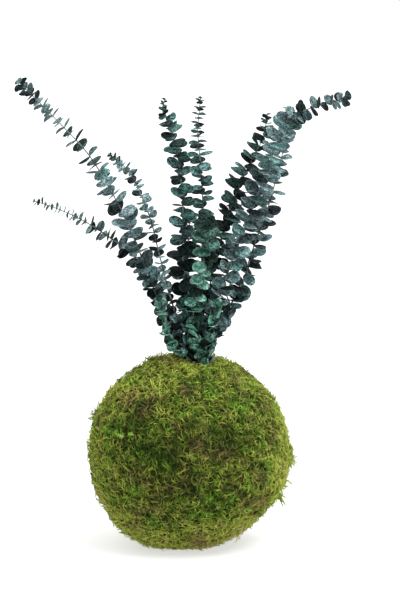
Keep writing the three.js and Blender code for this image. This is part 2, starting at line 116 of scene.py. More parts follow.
# Patches of moss: direction from the ball's centre, reach in radians, how old they are, and how brown, or how
# moist and green if that is below 0. Their age is partly painted light and shade: the broad old patch in front
# paints shade over the ball's middle, and the small ones lighten or darken the front partly as painted light.
PATCHES = [
    ((0, -1, -0.08), 0.6, 0.55, 0), ((-0.41, -0.81, -0.42), 0.13, 0.35, 0.8),
    ((0.01, -0.97, 0.24), 0.14, -0.1, 0.8), ((0.29, -0.95, 0.13), 0.14, 0.1, 0.5),
    ((-0.66, -0.75, -0.05), 0.11, 0, 1), ((-0.6, -0.58, 0.55), 0.12, 0.2, 0.3),
    ((0.78, -0.47, 0.41), 0.14, 0.5, 0.9), ((0.63, -0.7, -0.34), 0.12, 0.35, 0.8),
    ((-0.5, -0.82, 0.28), 0.16, 0.45, -0.5), ((-0.24, -0.96, 0.12), 0.17, 0.6, -0.8),
    ((-0.13, -0.98, -0.09), 0.15, 0.35, 0.6), ((0.27, -0.92, -0.29), 0.2, 0, -1),
    ((-0.44, -0.89, 0.14), 0.14, 0.5, -0.4), ((0.45, -0.8, 0.35), 0.25, 0.4, -0.2),
    ((-0.45, -0.3, -0.84), 0.13, 0.5, -1.6), ((-0.84, -0.38, -0.38), 0.14, -0.5, -0.5),
    ((-0.7, -0.38, -0.6), 0.14, -0.3, -0.3), ((0.43, -0.49, -0.76), 0.2, -0.5, 0),
    ((-0.39, -0.54, 0.75), 0.16, -0.5, 0.2), ((0.88, -0.47, -0.02), 0.15, -0.2, 0),
    ((0.02, -0.98, -0.17), 0.12, -0.5, 0.3), ((0.52, -0.67, -0.53), 0.17, -0.55, 0),
    ((0.8, 0.6, 0.1), 0.5, 0.9, 0), ((0, -0.6, 0.8), 0.18, 0.3, 0), ((0.2, -0.78, -0.6), 0.15, -0.3, 0),
    ((-0.66, -0.7, 0.27), 0.17, 0.6, -0.3), ((-0.4, -0.7, 0.6), 0.12, 0.8, 0.2),
    ((-0.8, -0.35, 0.48), 0.14, 0.4, 0.3), ((0.42, -0.82, 0.39), 0.1, 0.5, 0),
    ((0.52, -0.35, 0.79), 0.16, 0.4, 0), ((0.86, -0.45, -0.22), 0.2, -0.45, 0),
    ((-0.7, 0.7, -0.2), 0.5, 0.8, 0), ((0.5, 0.85, 0.2), 0.2, 0.2, 0.9),
    ((-0.2, 0.95, -0.3), 0.25, 0.2, -0.9), ((-0.85, 0.5, 0.2), 0.15, 0, 0.8),
    ((0.3, 0.9, -0.4), 0.15, 0.3, 0.8),
]

# Swells that make the ball a little uneven: direction, reach in radians, and height
SWELLS = [
    ((-0.42, -0.25, -0.87), 0.38, 5), ((0.72, -0.1, -0.69), 0.35, -3.5), ((-0.99, 0, -0.1), 0.4, -1.5),
    ((1, 0, -0.1), 0.16, 2), ((-0.2, -0.25, 0.95), 0.18, 2.5), ((0.36, 0, 0.93), 0.16, 2),
    ((0.08, -0.42, 0.9), 0.12, -4), ((-0.64, 0, 0.77), 0.2, -3), ((0.62, 0, 0.78), 0.2, -3),
    ((0.42, -0.05, -0.92), 0.26, -5), ((0.5, 0, -0.87), 0.12, -2), ((-0.43, 0, -0.91), 0.14, -3.5),
    ((0.99, 0, 0.12), 0.14, -3),
]

# The bunch of stems
NECK = np.array((9, -4, 172))  # where the bunch leaves the soil
STEM_PITCH = 4  # the stems stand side by side, as in a honeycomb
STEM_FOOT_Z = 120
STEM_RADIUS = (1.05, 0.42)  # at the soil and at the tip
BUNCH_FLARE = 1.2  # how much wider the bunch is at FLARE_HEIGHT above the soil
FLARE_HEIGHT = 12
KNOT = {-1.1: 1, 0: 1.35, 1.1: 1, 2.86: 1}  # how much thicker a stem is, by the distance from a leaf pair
CURVE_STEPS = 24  # samples of a stem's route between two of its points

# The leaves
FIRST_LEAF_Z = 179
TIP_BUD = 1.5  # distance from a stem's tip to its youngest pair
TIP_CROWDING, TIP_REACH = 0.68, 40  # near the tip the pairs stand closer by this factor
LOW_CROWDING = 0.66  # and at the foot of the bunch
YOUNG_REACH, YOUNG_RISE = 30, 8  # leaves rise more within this distance of the tip, by this many degrees
LOW_RISE = 58  # the lift of leaves that are crowded at the foot of the bunch
LOW_UNREST = 3.2  # and how much more they are turned, rolled and shaded at random
LOW_ZONE = (212, 262)  # heights at which that begins to fade and is gone
SMALLEST_LEAF = 2.8
MOSS_CLEARANCE = 0.8
BREADTH = 1.22  # a leaf's width over its length
LIGHT_SIDE = np.array((0, -1, 0))  # where the leaves face
CORE = 0.72  # leaves may touch at their rims: only this share of each must be clear of the others
LEAF_REACH = 0.62  # from a leaf's middle to anything of it, as a share of its length
BLADE_ROWS = 8
BLADE_COLUMNS = (-1, -0.5, 0, 0.5, 1)
BLADE_HALF = 0.2  # half the thickness of a blade along its midrib
BLADE_MIDDLE = (0.55, 0)  # a leaf's places: along its length, and across from -1 to 1
BLADE_RIM = [(0.2, -1), (0.5, -1), (0.8, -1), (1, 0), (0.8, 1), (0.5, 1), (0.2, 1)]

# What is left to chance: degrees by which a pair leans and turns, and what differs from leaf to leaf
NOD_WHIM, TURN_WHIM = 11, 14
LEAF_WHIMS = dict(
    lift=(-8, 8), roll=(-11, 11), curl=(-0.12, 0.2), cup=(-0.25, 0.4), length=(0.9, 1.1), width=(0.92, 1.1),
    tone=(-0.45, 0.45), hue=(0, 1),
)

# What the leaves' points hold, with what a stem's points hold instead
LEAF_VALUES = dict(length=0, width=0, curl=0, cup=0, tone=0, hue=0, axis=(0, 0, 1), face=(0, 0, 1))

# What a leaf does when its place is taken: degrees more of lift, and a share of its size
BENDS = [(0, 1), (12, 0.95), (-14, 0.95), (24, 0.85), (0, 0.8), (34, 0.72), (12, 0.6), (28, 0.5), (-10, 0.45)]

# The sprigs, in the order in which they take their places. foot: place in the bunch, in pitches.
# route: points the stem passes through. lift: degrees its leaves rise. The rest are values by the distance
# from the tip. phases: degrees by which the pairs turn round the stem. nods: degrees by which they lean to
# the light, at the front, and rocks: by which one leans more and the next less. gaps: how much further apart
# than usual they are. unrest: how much more than usual is left to chance. sizes: leaf lengths. tones: 0 dark
# to 1 pale, partly each leaf's own bloom and partly painted shade, set lower for leaves deep in the bunch.
EVEN, STILL = {0: 1}, {0: 0}
SPRIGS = [
    dict(
        name="sprig_front", kind="green", seed=99, foot=(0, -2), lift=-10, phases={0: 30, 50: 45},
        nods={0: 34, 70: 32, 120: 12}, unrest={0: 1, 60: 1.8, 90: 1.6, 120: 1},
        sizes={0: 10, 18: 15, 34: 14, 52: 11.5, 75: 11.5, 120: 10.5, 160: 10},
        tones={0: 0.25, 35: 0.35, 48: 0.65, 110: 0.6, 150: 0.5},
        route=[(6, -15, 205), (4, -26, 231), (10, -38, 265), (16, -47, 300), (17, -53, 333)],
    ),
    dict(
        name="sprig_front_left", kind="green", seed=110, foot=(-1, -2), lift=30, phases={0: 40},
        nods={0: 22, 60: 12}, sizes={0: 7, 20: 9.5, 60: 10, 90: 9}, tones={0: 0.55, 60: 0.75, 90: 0.7},
        route=[(-15, -18, 202), (-24, -28, 220), (-27, -34, 237), (-27, -38, 251)],
    ),
    dict(
        name="sprig_front_right", kind="green", seed=121, foot=(1, -2), lift=30, phases={0: 70},
        nods={0: 22, 60: 12}, sizes={0: 7, 20: 9.5, 60: 10, 90: 9}, tones={0: 0.55, 60: 0.75, 90: 0.6},
        route=[(16, -17, 202), (21, -29, 219), (25, -35, 236), (28, -38, 248)],
    ),
    dict(
        name="sprig_far_left", kind="blue", seed=11, foot=(-2, 0), lift=9, phases={130: 0, 165: 20},
        nods={0: 34, 24: 30, 36: 18, 130: 18, 160: 34, 190: 34, 240: 26, 340: 14},
        rocks={28: 0, 40: 11, 130: 11, 160: 4}, unrest={0: 1, 30: 0.5, 140: 0.5, 160: 1},
        gaps={26: 1, 36: 1.15, 75: 1.35, 100: 1.3, 115: 1.12, 155: 1.12, 165: 1.25, 200: 1.2, 250: 1},
        sizes={
            0: 7.5, 8: 9.5, 26: 9.5, 50: 11, 78: 11, 86: 16, 95: 12.5, 110: 13.5, 150: 13.5, 160: 16.5,
            208: 16.5, 222: 13, 245: 12, 285: 11, 340: 9,
        },
        tones={0: 0.3, 22: 0.35, 36: 0.5, 100: 0.4, 135: 0.45, 149: 0.75, 165: 0.55, 210: 0.5, 235: 0.3},
        route=[
            (-13, -2, 204), (-29, 4, 242), (-47, 10, 287), (-61, 14, 322), (-81, 18, 359), (-102, 21, 392),
            (-135, 25, 427), (-170, 28, 462),
        ],
    ),
    dict(
        name="sprig_long_right", kind="blue", seed=66, foot=(1.5, -1), lift=6,
        phases={0: 45, 60: 30, 80: 10, 150: 15, 190: 50},
        nods={60: 30, 75: 34, 90: 20, 150: 20, 200: 30, 340: 22},
        gaps={0: 1, 25: 1.2, 28: 1.9, 34: 1.7, 36: 0.6, 54: 0.6, 60: 0.85, 200: 0.85, 240: 1},
        sizes={0: 9, 28: 10, 36: 11, 56: 13, 66: 16.5, 85: 15, 150: 15, 190: 14, 270: 12.5, 340: 10},
        tones={
            20: 0.4, 30: 0.15, 44: 0.15, 54: 0.55, 68: 0.9, 98: 0.85, 115: 0.6, 150: 0.5, 168: 0.75,
            215: 0.75, 240: 0.45, 320: 0.35,
        },
        route=[
            (18, -8, 202), (29, -15, 248), (49, -23, 304), (67, -28, 353), (84, -32, 399), (96, -34, 424),
            (114, -36, 436), (136, -38, 443), (153, -40, 447),
        ],
    ),
    dict(
        name="sprig_centre_left", kind="teal", seed=44, foot=(-0.5, -1), lift=3,
        phases={0: 45, 30: 35, 120: 35, 190: 20},
        nods={0: 22, 30: 19, 110: 19, 130: 26, 150: 26, 180: 44, 225: 44, 250: 14},
        sizes={0: 3, 10: 5, 19: 7.5, 26: 12.5, 115: 12.5, 135: 15, 160: 16, 220: 15, 290: 10},
        tones={0: 0.2, 30: 0.6, 100: 0.5, 150: 0.3, 200: 0.2},
        route=[
            (2, -8, 204), (-4, -16, 257), (-6, -21, 299), (-6, -26, 344), (-10, -30, 388), (-18, -33, 419),
            (-25, -34, 436), (-23, -35, 447),
        ],
    ),
    dict(
        name="sprig_centre", kind="teal", seed=55, foot=(0, 0), lift=3, phases={45: 5, 70: 30},
        nods={0: 16, 45: 18, 60: 26, 180: 26, 240: 14},
        sizes={0: 4, 8: 6.5, 35: 7.5, 46: 9.5, 54: 13.5, 110: 13, 130: 14, 160: 14, 220: 12, 280: 10},
        tones={0: 0.2, 50: 0.6, 100: 0.5, 200: 0.2},
        route=[(11, 3, 203), (13, 13, 278), (14, 20, 333), (12, 26, 377), (9, 29, 412), (12, 31, 447)],
    ),
    dict(
        name="sprig_slim_left", kind="blue", seed=22, foot=(-1.5, -1), lift=12,
        phases={0: 15, 60: 40, 100: 10}, nods={0: 14, 60: 20, 95: 10, 240: 12}, rocks={0: 6, 240: 12},
        gaps={0: 1, 30: 1.2, 110: 1.5, 240: 1.3}, sizes={0: 4, 20: 7.5, 40: 9, 60: 9.5, 110: 8.5},
        tones={0: 0.3, 50: 0.6, 110: 0.4, 130: 0.7, 200: 0.4},
        route=[
            (-5, -9, 207), (-19, -21, 254), (-30, -32, 299), (-37, -38, 328), (-47, -44, 355),
            (-58, -48, 377), (-78, -52, 395),
        ],
    ),
    dict(
        name="sprig_outer_right", kind="blue", seed=88, foot=(2, 0), lift=8, phases={0: 5, 120: 10, 150: 30},
        nods={0: 16, 110: 18, 140: 28, 230: 28, 330: 12},
        gaps={0: 1, 30: 1.25, 90: 1.15, 115: 0.95, 200: 0.92},
        sizes={0: 4, 20: 8, 50: 12, 90: 13.5, 130: 14.5, 150: 14, 220: 14, 260: 12.5, 330: 10},
        tones={0: 0.3, 60: 0.6, 120: 0.5, 150: 0.4, 250: 0.5, 320: 0.35},
        route=[
            (22, 4, 201), (40, 10, 236), (56, 14, 268), (66, 16, 301), (79, 18, 336), (88, 18, 369),
            (95, 16, 400), (98, 12, 437),
        ],
    ),
    dict(
        name="sprig_inner_right", kind="teal", seed=77, foot=(1.5, 1), lift=6, phases={0: 45},
        nods={0: 26, 120: 30, 200: 30, 300: 14}, gaps={0: 1, 40: 0.85},
        sizes={0: 4, 14: 9, 25: 12, 40: 14, 60: 16, 120: 16.5, 180: 15, 240: 13, 300: 10},
        tones={0: 0.3, 100: 0.25, 200: 0.15},
        route=[
            (18, 11, 203), (22, 29, 261), (33, 43, 303), (47, 53, 346), (66, 61, 386), (76, 65, 405),
            (80, 68, 429),
        ],
    ),
    dict(
        name="sprig_low_left", kind="blue", seed=33, foot=(-1.5, 1), lift=8, phases={60: 0, 90: 30, 260: 40},
        nods={0: 14, 50: 16, 70: 26, 110: 34, 160: 30, 260: 14},
        sizes={0: 4.5, 10: 6.5, 45: 7, 60: 9, 75: 12, 100: 13, 150: 13, 185: 11, 260: 9},
        tones={0: 0.3, 55: 0.6, 75: 0.3, 120: 0.2, 150: 0.3, 200: 0.2},
        route=[
            (-12, 6, 199), (-22, 18, 227), (-34, 32, 256), (-49, 40, 280), (-79, 50, 303), (-107, 58, 320),
            (-134, 64, 332), (-159, 70, 340),
        ],
    ),
    dict(
        name="sprig_back", kind="teal", seed=132, foot=(0, 2), lift=10, phases={0: 25}, nods={0: 10},
        sizes={0: 6, 25: 12, 60: 14, 150: 10}, tones={0: 0.3, 150: 0.2},
        route=[(8, 17, 200), (3, 36, 241), (-1, 54, 283), (1, 68, 321)],
    ),
]

# Each kind of leaf: its slot, the cuticle in shade and in light, and how much of it the waxy bloom hides
LEAF_FINISH = {
    "blue": ("blue_leaf", 0x061011, 0x4C6E72, 1.0),
    # The teal leaves are darker, partly by their own thinner bloom and partly as painted shade on the sprigs
    # inside and behind the bunch.
    "teal": ("teal_leaf", 0x050D0D, 0x224845, 0.8),
    "green": ("green_leaf", 0x06120E, 0x43907A, 1.0),
}

# The stage
CAMERA_AT = (0.0, -2.179, 0.506)
CAMERA_AIM = (0.0111, 0.0, 0.2458)
KEY_AT = (0.7, -0.6, 1.6)  # the direction that the main light comes from
KEY_WIDTH = math.radians(30)
FLOOR_SIDES = 96
WHITE = (1, 1, 1, 1)


def linear(colour):
    """An sRGB hex value as linear red, green, blue and an alpha of 1."""
    shares = [(colour >> shift & 255) / 255 for shift in (16, 8, 0)]
    return (*(c / 12.92 if c <= 0.04045 else ((c + 0.055) / 1.055) ** 2.4 for c in shares), 1.0)


def colour_property(name, description, colour):
    return FloatVectorProperty(
        name=name, description=description, default=linear(colour), size=4, subtype="COLOR", min=0, max=1,
    )


class MossSettings(bpy.types.PropertyGroup):
    frond_length: FloatProperty(
        name="Frond length", description="Length of a feathery moss frond", default=11 * MM, unit="LENGTH",
    )
    strand_length: FloatProperty(
        name="Strand length", description="Length of a loose curly strand", default=8.5 * MM, unit="LENGTH",
    )
    frond_density: FloatProperty(
        name="Frond density", description="Fronds on a square metre of moss, in each layer", default=16000,
    )
    frond_layers: IntProperty(name="Frond layers", description="Layers of fronds", default=2)
    strand_density: FloatProperty(
        name="Strand density", description="Strands on a square metre of moss, in each layer", default=84000,
    )
    strand_layers: IntProperty(name="Strand layers", description="Layers of strands", default=3)
    long_length: FloatProperty(
        name="Long strand length", description="Length of a long pale strand", default=18 * MM, unit="LENGTH",
    )
    long_density: FloatProperty(
        name="Long strand density", description="Long strands on a square metre of moss", default=3500,
    )
    fresh_frond: colour_property("Fresh frond", "Colour of the freshest fronds", 0xB7C454)
    fresh_strand: colour_property("Fresh strand", "Colour of the freshest strands", 0xCAC973)
    young_shoot: colour_property("Young shoot", "Colour of the palest young shoots", 0xB6C65C)
    # The root colour is painted shade deep down in the moss.
    root: colour_property("Root", "Colour of the moss deep down", 0x151A0C)
    soil: colour_property("Soil", "Colour of the soil's palest crumbs", 0x4A3828)


class SprigSettings(bpy.types.PropertyGroup):
    pair_gap: FloatProperty(
        name="Pair gap", description="Least distance between leaf pairs", default=1.9 * MM, unit="LENGTH",
    )
    pair_gap_share: FloatProperty(
        name="Pair gap share", description="More distance between pairs, as a share of the leaf's length",
        default=0.43, subtype="FACTOR",
    )
    stem_sides: IntProperty(name="Stem sides", description="Faces round a stem", default=7)
    blue_bloom: colour_property("Blue bloom", "Wax bloom on the blue leaves", 0xBED8DA)
    teal_bloom: colour_property("Teal bloom", "Wax bloom on the teal leaves", 0x98C5C0)
    green_bloom: colour_property("Green bloom", "Wax bloom on the green leaves", 0xC8F6E6)
    bark: colour_property("Bark", "Colour of the bark under its bloom", 0x3A3B3A)


class StageSettings(bpy.types.PropertyGroup):
    floor_radius: FloatProperty(
        name="Floor radius", description="Radius of the pale floor", default=30.0, unit="LENGTH",
    )
    lens: FloatProperty(name="Lens", description="Focal length of the camera", default=132.0, unit="CAMERA")
    sky: FloatProperty(name="Sky", description="Strength of the soft light all round", default=1.0)
    key: FloatProperty(name="Key", description="Strength of the main light", default=2.4)
    floor: colour_property("Floor", "Colour of the floor", 0xAEAEAD)


def mix(a, b, t):
    return a + (b - a) * t


def clamp(t):
    return min(1.0, max(0.0, t))


def smooth(t):
    return t * t * (3 - 2 * t)


def unit(vector):
    return vector / np.linalg.norm(vector)


def dice(seed):
    """The same draws every time: a linear congruential generator."""
    state = seed

    def draw(low, high):
        nonlocal state
        state = (state * 1664525 + 1013904223) % 2**32
        return mix(low, high, state / 2**32)

    return draw


def fill(tree, made, inputs):
    """Sets a node's inputs, in order or by name or number: each a value, or a socket or node to link."""
    for key, value in inputs.items() if isinstance(inputs, dict) else enumerate(inputs):
        if isinstance(value, bpy.types.Node):
            value = next(socket for socket in value.outputs if socket.enabled)
        if isinstance(value, bpy.types.NodeSocket):
            tree.links.new(value, made.inputs[key])
        else:
            made.inputs[key].default_value = value


def node(tree, kind, inputs=(), **settings):
    """Adds a node with its settings and inputs. Its kind goes without ShaderNode, or is a Math operation."""
    if kind.isupper():
        kind, settings = "Math", {"operation": kind}
    made = tree.nodes.new(kind if "Node" in kind else "ShaderNode" + kind)
    for name, value in settings.items():
        setattr(made, name, value)
    fill(tree, made, inputs)
    return made


def new_geometry_tree(name, sockets):
    """A geometry tree with named inputs of the kinds given, its function for adding nodes, and the inputs."""
    tree = bpy.data.node_groups.new(name, "GeometryNodeTree")
    for label, kind in {"Geometry": "Geometry", **sockets}.items():
        tree.interface.new_socket(label, in_out="INPUT", socket_type="NodeSocket" + kind)
    tree.interface.new_socket("Geometry", in_out="OUTPUT", socket_type="NodeSocketGeometry")
    add = partial(node, tree)
    return tree, add, add("NodeGroupInput").outputs


def new_object(name, data):
    made = bpy.data.objects.new(name, data)
    bpy.context.scene.collection.objects.link(made)
    return made


def mesh_object(name, points, faces, edges=()):
    """A new mesh in the scene. Its points are in millimetres."""
    mesh = bpy.data.meshes.new(name)
    mesh.from_pydata((np.asarray(points, float) * MM).tolist(), list(edges), list(faces))
    mesh.update()
    return new_object(name, mesh)


def set_attributes(obj, **attributes):
    """Gives each point of a mesh its numbers or vectors, by name."""
    for name, values in attributes.items():
        values = np.asarray(values, np.float32)
        kind, field = ("FLOAT_VECTOR", "vector") if values.ndim > 1 else ("FLOAT", "value")
        obj.data.attributes.new(name, kind, "POINT").data.foreach_set(field, values.ravel())


def grow(obj, tree, values):
    """Runs a geometry tree on an object, and leaves the result as its plain mesh."""
    modifier = obj.modifiers.new(tree.name, "NODES")
    modifier.node_group = tree
    for name, value in values.items():
        modifier[tree.interface.items_tree[name].identifier] = value
    graph = bpy.context.evaluated_depsgraph_get()
    evaluated = obj.evaluated_get(graph)
    made = bpy.data.meshes.new_from_object(evaluated, preserve_all_data_layers=True, depsgraph=graph)
    obj.modifiers.remove(modifier)
    old, obj.data = obj.data, made
    made.name = obj.name
    bpy.data.meshes.remove(old)
    if not made.polygons:
        raise RuntimeError(f"{obj.name} grew nothing")


def remove(objects):
    for obj in objects:
        mesh = obj.data
        bpy.data.objects.remove(obj)
        bpy.data.meshes.remove(mesh)


def dress(obj, slot, *nodes):
    """Lets a finished piece ride on the frame in place of its nodes."""
    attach(obj, BODY)
    if nodes:
        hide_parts(*nodes)


def new_material(name, look, *choices):
    """A new material. Its look adds the nodes and returns the inputs of its shader."""
    material = bpy.data.materials.new(name)
    material.use_nodes = True
    tree = material.node_tree
    fill(tree, tree.nodes["Principled BSDF"], look(partial(node, tree), *choices))
    return material


def moss_look(add, palette, freshest):
    """Sheet moss: soft matte strands with painted shade at the root, each its own green, straw or brown by
    patches.
    """
    place = add("TexCoord").outputs["Object"]
    reach, shade, age, browner = (
        add("Attribute", attribute_name=value).outputs["Fac"] for value in ("reach", "shade", "age", "brown")
    )
    # Patches of about 8 mm vary the shade; others of 20 mm go brown, and others of 14 mm a deeper green.
    apart = add("VectorMath", [place, (0.31, 0.17, 0.23)], operation="ADD")
    small, broad, moist = (
        add("TexNoise", {"Vector": spot, "Scale": 1 / (size * MM), "Detail": detail})
        for spot, size, detail in ((place, 8, 2), (place, 20, 4), (apart, 14, 4))
    )
    patch = add("MapRange", [small, 0.3, 0.7, 0.02, 0.59])
    # The older the moss, and the deeper its painted shade, the more its strands differ.
    spread = add("MULTIPLY_ADD", [age, 0.2, 0.47])
    own = add("MULTIPLY", [shade, spread])
    # Older moss is darker; the age value holds painted light, so this paints the crown, the foot and the sides
    # lighter and the ball's middle in shade.
    fade = add("MULTIPLY_ADD", [age, -0.54, own])
    ramp = add("ValToRGB", [add("ADD", [fade, patch])])
    stops = ramp.color_ramp.elements
    for _ in range(len(palette) - 1):
        stops.new(0.5)
    shades = [*((position, linear(colour)) for position, colour in palette.items()), (1.0, freshest)]
    for stop, (position, colour) in zip(stops, shades):
        stop.position = position
        stop.color = colour
    dry = add("MULTIPLY_ADD", [browner, 0.15, broad])
    brown = add("MapRange", [dry, 0.53, 0.66])
    dead = add("Mix", {0: brown, 6: ramp, 7: BROWN_TINT}, data_type="RGBA", blend_type="MULTIPLY")
    wet = add("MULTIPLY_ADD", [browner, -0.15, moist])
    bright = add("MapRange", [wet, 0.44, 0.62])
    # The freshest moss is yellow all over, so where the age value holds painted light, at the crown, the foot
    # and the sides, the yellow is painted light too.
    grown = add("MapRange", [age, -0.4, 0.15])
    deep = add("MULTIPLY", [bright, grown])
    fresh = add("Mix", {0: deep, 6: dead, 7: GREEN_TINT}, data_type="RGBA", blend_type="MULTIPLY")
    # Toward its root a strand is painted dark: painted shade deep in the moss.
    depth = add("MapRange", [reach, 0, 0.6, 0.4])
    root = bpy.context.scene.kokedama_moss.root
    colour = add("Mix", {0: depth, 6: root, 7: fresh}, data_type="RGBA")
    return {"Base Color": colour, "Roughness": 0.85, "Specular IOR Level": 0.1}


def bed_look(add):
    """Matted old moss between the living fronds: curly olive fibres over nearly black humus, quite rough."""
    place = add("TexCoord").outputs["Object"]
    # The fibres are where the noise crosses its middle, so they are curly lines about half a millimetre wide.
    curl = add(
        "TexNoise",
        {"Vector": place, "Scale": 1 / (3.2 * MM), "Detail": 3, "Roughness": 0.6, "Distortion": 1.2},
    )
    off = add("SUBTRACT", [curl, 0.5])
    from_fibre = add("ABSOLUTE", [off])
    fibre = add("MapRange", [from_fibre, 0, 0.07, 1, 0])
    broad = add("TexNoise", {"Vector": place, "Scale": 1 / (9 * MM), "Detail": 2})
    strand = add("Mix", {0: broad, 6: linear(0x4A4A1C), 7: linear(0x82922F)}, data_type="RGBA")
    colour = add("Mix", {0: fibre, 6: linear(0x15180A), 7: strand}, data_type="RGBA")
    bump = add("Bump", {"Height": fibre, "Strength": 0.8, "Distance": 1.0 * MM})
    return {"Base Color": colour, "Normal": bump, "Roughness": 0.95, "Specular IOR Level": 0.1}


def soil_look(add):
    """Moist potting soil: crumbs of 2 to 4 mm, dark brown, with paler bits of fibre."""
    place = add("TexCoord").outputs["Object"]
    crumbs = add("TexVoronoi", {"Vector": place, "Scale": 1 / (3 * MM)})
    grain = add("TexNoise", {"Vector": place, "Scale": 1 / (1.2 * MM), "Detail": 5})
    pale = bpy.context.scene.kokedama_moss.soil
    colour = add("Mix", {0: grain, 6: linear(0x1A120C), 7: pale}, data_type="RGBA")
    bump = add("Bump", {"Height": crumbs, "Strength": 0.8, "Distance": 1.5 * MM})
    return {"Base Color": colour, "Normal": bump, "Roughness": 0.9}


def leaf_look(add, deep, face, bloom, share):
    """Eucalyptus leaf: a dark leathery cuticle under powdery wax bloom, with a pale midrib and side veins."""
    place = add("TexCoord").outputs["Object"]
    tone, hue = (add("Attribute", attribute_name=value).outputs["Fac"] for value in ("tone", "hue"))
    # Each leaf's tone mixes its cuticle from its colour in shade to its colour in light: painted shade and
    # light, set by sprig and place, with some left to chance.
    green = add("Mix", {0: tone, 6: linear(deep), 7: linear(face)}, data_type="RGBA")
    plum = add("MapRange", [hue, 0.85, 1, 0, 0.6])
    cuticle = add("Mix", {0: plum, 6: green, 7: linear(0x2A2C35)}, data_type="RGBA")
    # The bloom is rubbed off in spots of 1 to 2 mm, and lies thicker in drifts of about 8 mm.
    fine = add("TexNoise", {"Vector": place, "Scale": 1 / (2.2 * MM), "Detail": 2, "Roughness": 0.6})
    drift = add("TexNoise", {"Vector": place, "Scale": 1 / (8 * MM), "Detail": 2})
    powder = add("MapRange", [fine, 0.45, 0.55, 0.02])
    cover = add("MapRange", [drift, 0.35, 0.65, 0.25])
    dust = add("MULTIPLY", [powder, cover])
    by_tone = add("MapRange", [tone, 0, 1, 0.05, share])
    amount = add("MULTIPLY", [dust, by_tone])
    bloomed = add("Mix", {0: amount, 6: cuticle, 7: bloom}, data_type="RGBA")
    # Some leaves are greener than the rest.
    sea = add("MapRange", [hue, 0.1, 0.5, 0.8, 0])
    varied = add("Mix", {0: sea, 6: bloomed, 7: SEA_TINT}, data_type="RGBA", blend_type="MULTIPLY")
    # The midrib is half a millimetre wide on a leaf of 15 mm.
    spot = add("SeparateXYZ", [add("UVMap", uv_map="leaf")])
    off_middle = add("SUBTRACT", [spot.outputs["X"], 0.5])
    beside = add("ABSOLUTE", [off_middle])
    rib = add("MapRange", [beside, 0.01, 0.035, 0.3, 0])
    # Side veins run out and forward from the midrib, seven on each side; the rim is painted pale too, as a
    # highlight along the edge.
    sweep = add("MULTIPLY", [beside, -9])
    count = add("MULTIPLY_ADD", [spot.outputs["Y"], 8, sweep])
    from_vein = add("PINGPONG", [count, 0.5])
    vein = add("MapRange", [from_vein, 0.02, 0.12, 0.22, 0])
    rim = add("MapRange", [beside, 0.41, 0.49])
    lines = add("MAXIMUM", [rib, vein])
    pale = add("MAXIMUM", [lines, rim])
    shown = add("MapRange", [tone, 0, 1, 0.12])
    drawn = add("MULTIPLY", [pale, shown])
    colour = add("Mix", {0: drawn, 6: varied, 7: bloom}, data_type="RGBA")
    waves = add("Bump", {"Height": drift, "Strength": 1, "Distance": 8 * MM})
    relief = add("SUBTRACT", [lines, fine])
    bump = add("Bump", {"Height": relief, "Strength": 0.5, "Distance": 0.4 * MM, "Normal": waves})
    return {"Base Color": colour, "Normal": bump, "Roughness": 0.5, "Specular IOR Level": 0.02}


def bark_look(add):
    """Young eucalyptus bark: smooth grey-brown, with bloom left on it in streaks."""
    place = add("TexCoord").outputs["Object"]
    streak = add("TexNoise", {"Vector": place, "Scale": 1 / (5 * MM), "Detail": 3})
    share = add("MapRange", [streak, 0.45, 0.65])
    bark = bpy.context.scene.kokedama_sprigs.bark
    colour = add("Mix", {0: share, 6: bark, 7: linear(0x889694)}, data_type="RGBA")
    return {"Base Color": colour, "Roughness": 0.7}


def floor_look(add):
    """Opal acrylic of a light table: it glows evenly, so it's white and the shadows on it are faint."""
    return {
        "Base Color": bpy.context.scene.kokedama_stage.floor, "Roughness": 0.9, "Specular IOR Level": 0.1,
        "Emission Color": WHITE, "Emission Strength": 0.6,
    }


def dip_at(directions, depth, spread):
    """A radius's dip round the stems, for directions from the ball's centre."""
    crown = unit(NECK - BALL_CENTRE)
    angle = np.arccos(np.clip(directions @ crown, -1, 1))
    return depth * np.exp(-((BALL_RADIUS * angle / spread) ** 2))


def bell(directions, middle, reach):
    """1 in one direction from the ball's centre, falling to 0 round it."""
    angle = np.arccos(np.clip(directions @ unit(np.array(middle)), -1, 1))
    return np.exp(-((angle / reach) ** 2))


def moss_radius(directions):
    """The moss lies in soft lumps, and dips round the stems."""
    x, y, z = directions.T
    lumps = np.sin(5.1 * x + 1.1) * np.cos(4.3 * y - 0.7) + np.sin(4.7 * z + 2.3 * x - 0.4)
    tufts = np.sin(9.7 * x - 6.1 * z + 0.9) * np.cos(8.3 * y + 3.9 * z + 1.7)
    swell = sum(height * bell(directions, middle, reach) for middle, reach, height in SWELLS)
    round_ball = BALL_RADIUS + MOSS_LUMP * lumps + MOSS_TUFT * tufts
    return round_ball + swell - dip_at(directions, CROWN_DIP, CROWN_SPREAD)


def bed_radius(directions):
    """The matted bed under the fronds, with crumpled folds about 9 mm apart."""
    x, y, z = directions.T
    folds = np.sin(37 * x + 5 * np.sin(9 * z)) * np.sin(41 * y + 4 * np.sin(11 * x)) * np.sin(39 * z + 1.3)
    return moss_radius(directions) - BED_DEPTH + BED_FOLD * folds


def lining_radius(directions):
    return BALL_RADIUS - MOSS_THICKNESS - dip_at(directions, LINING_DIP, LINING_SPREAD)


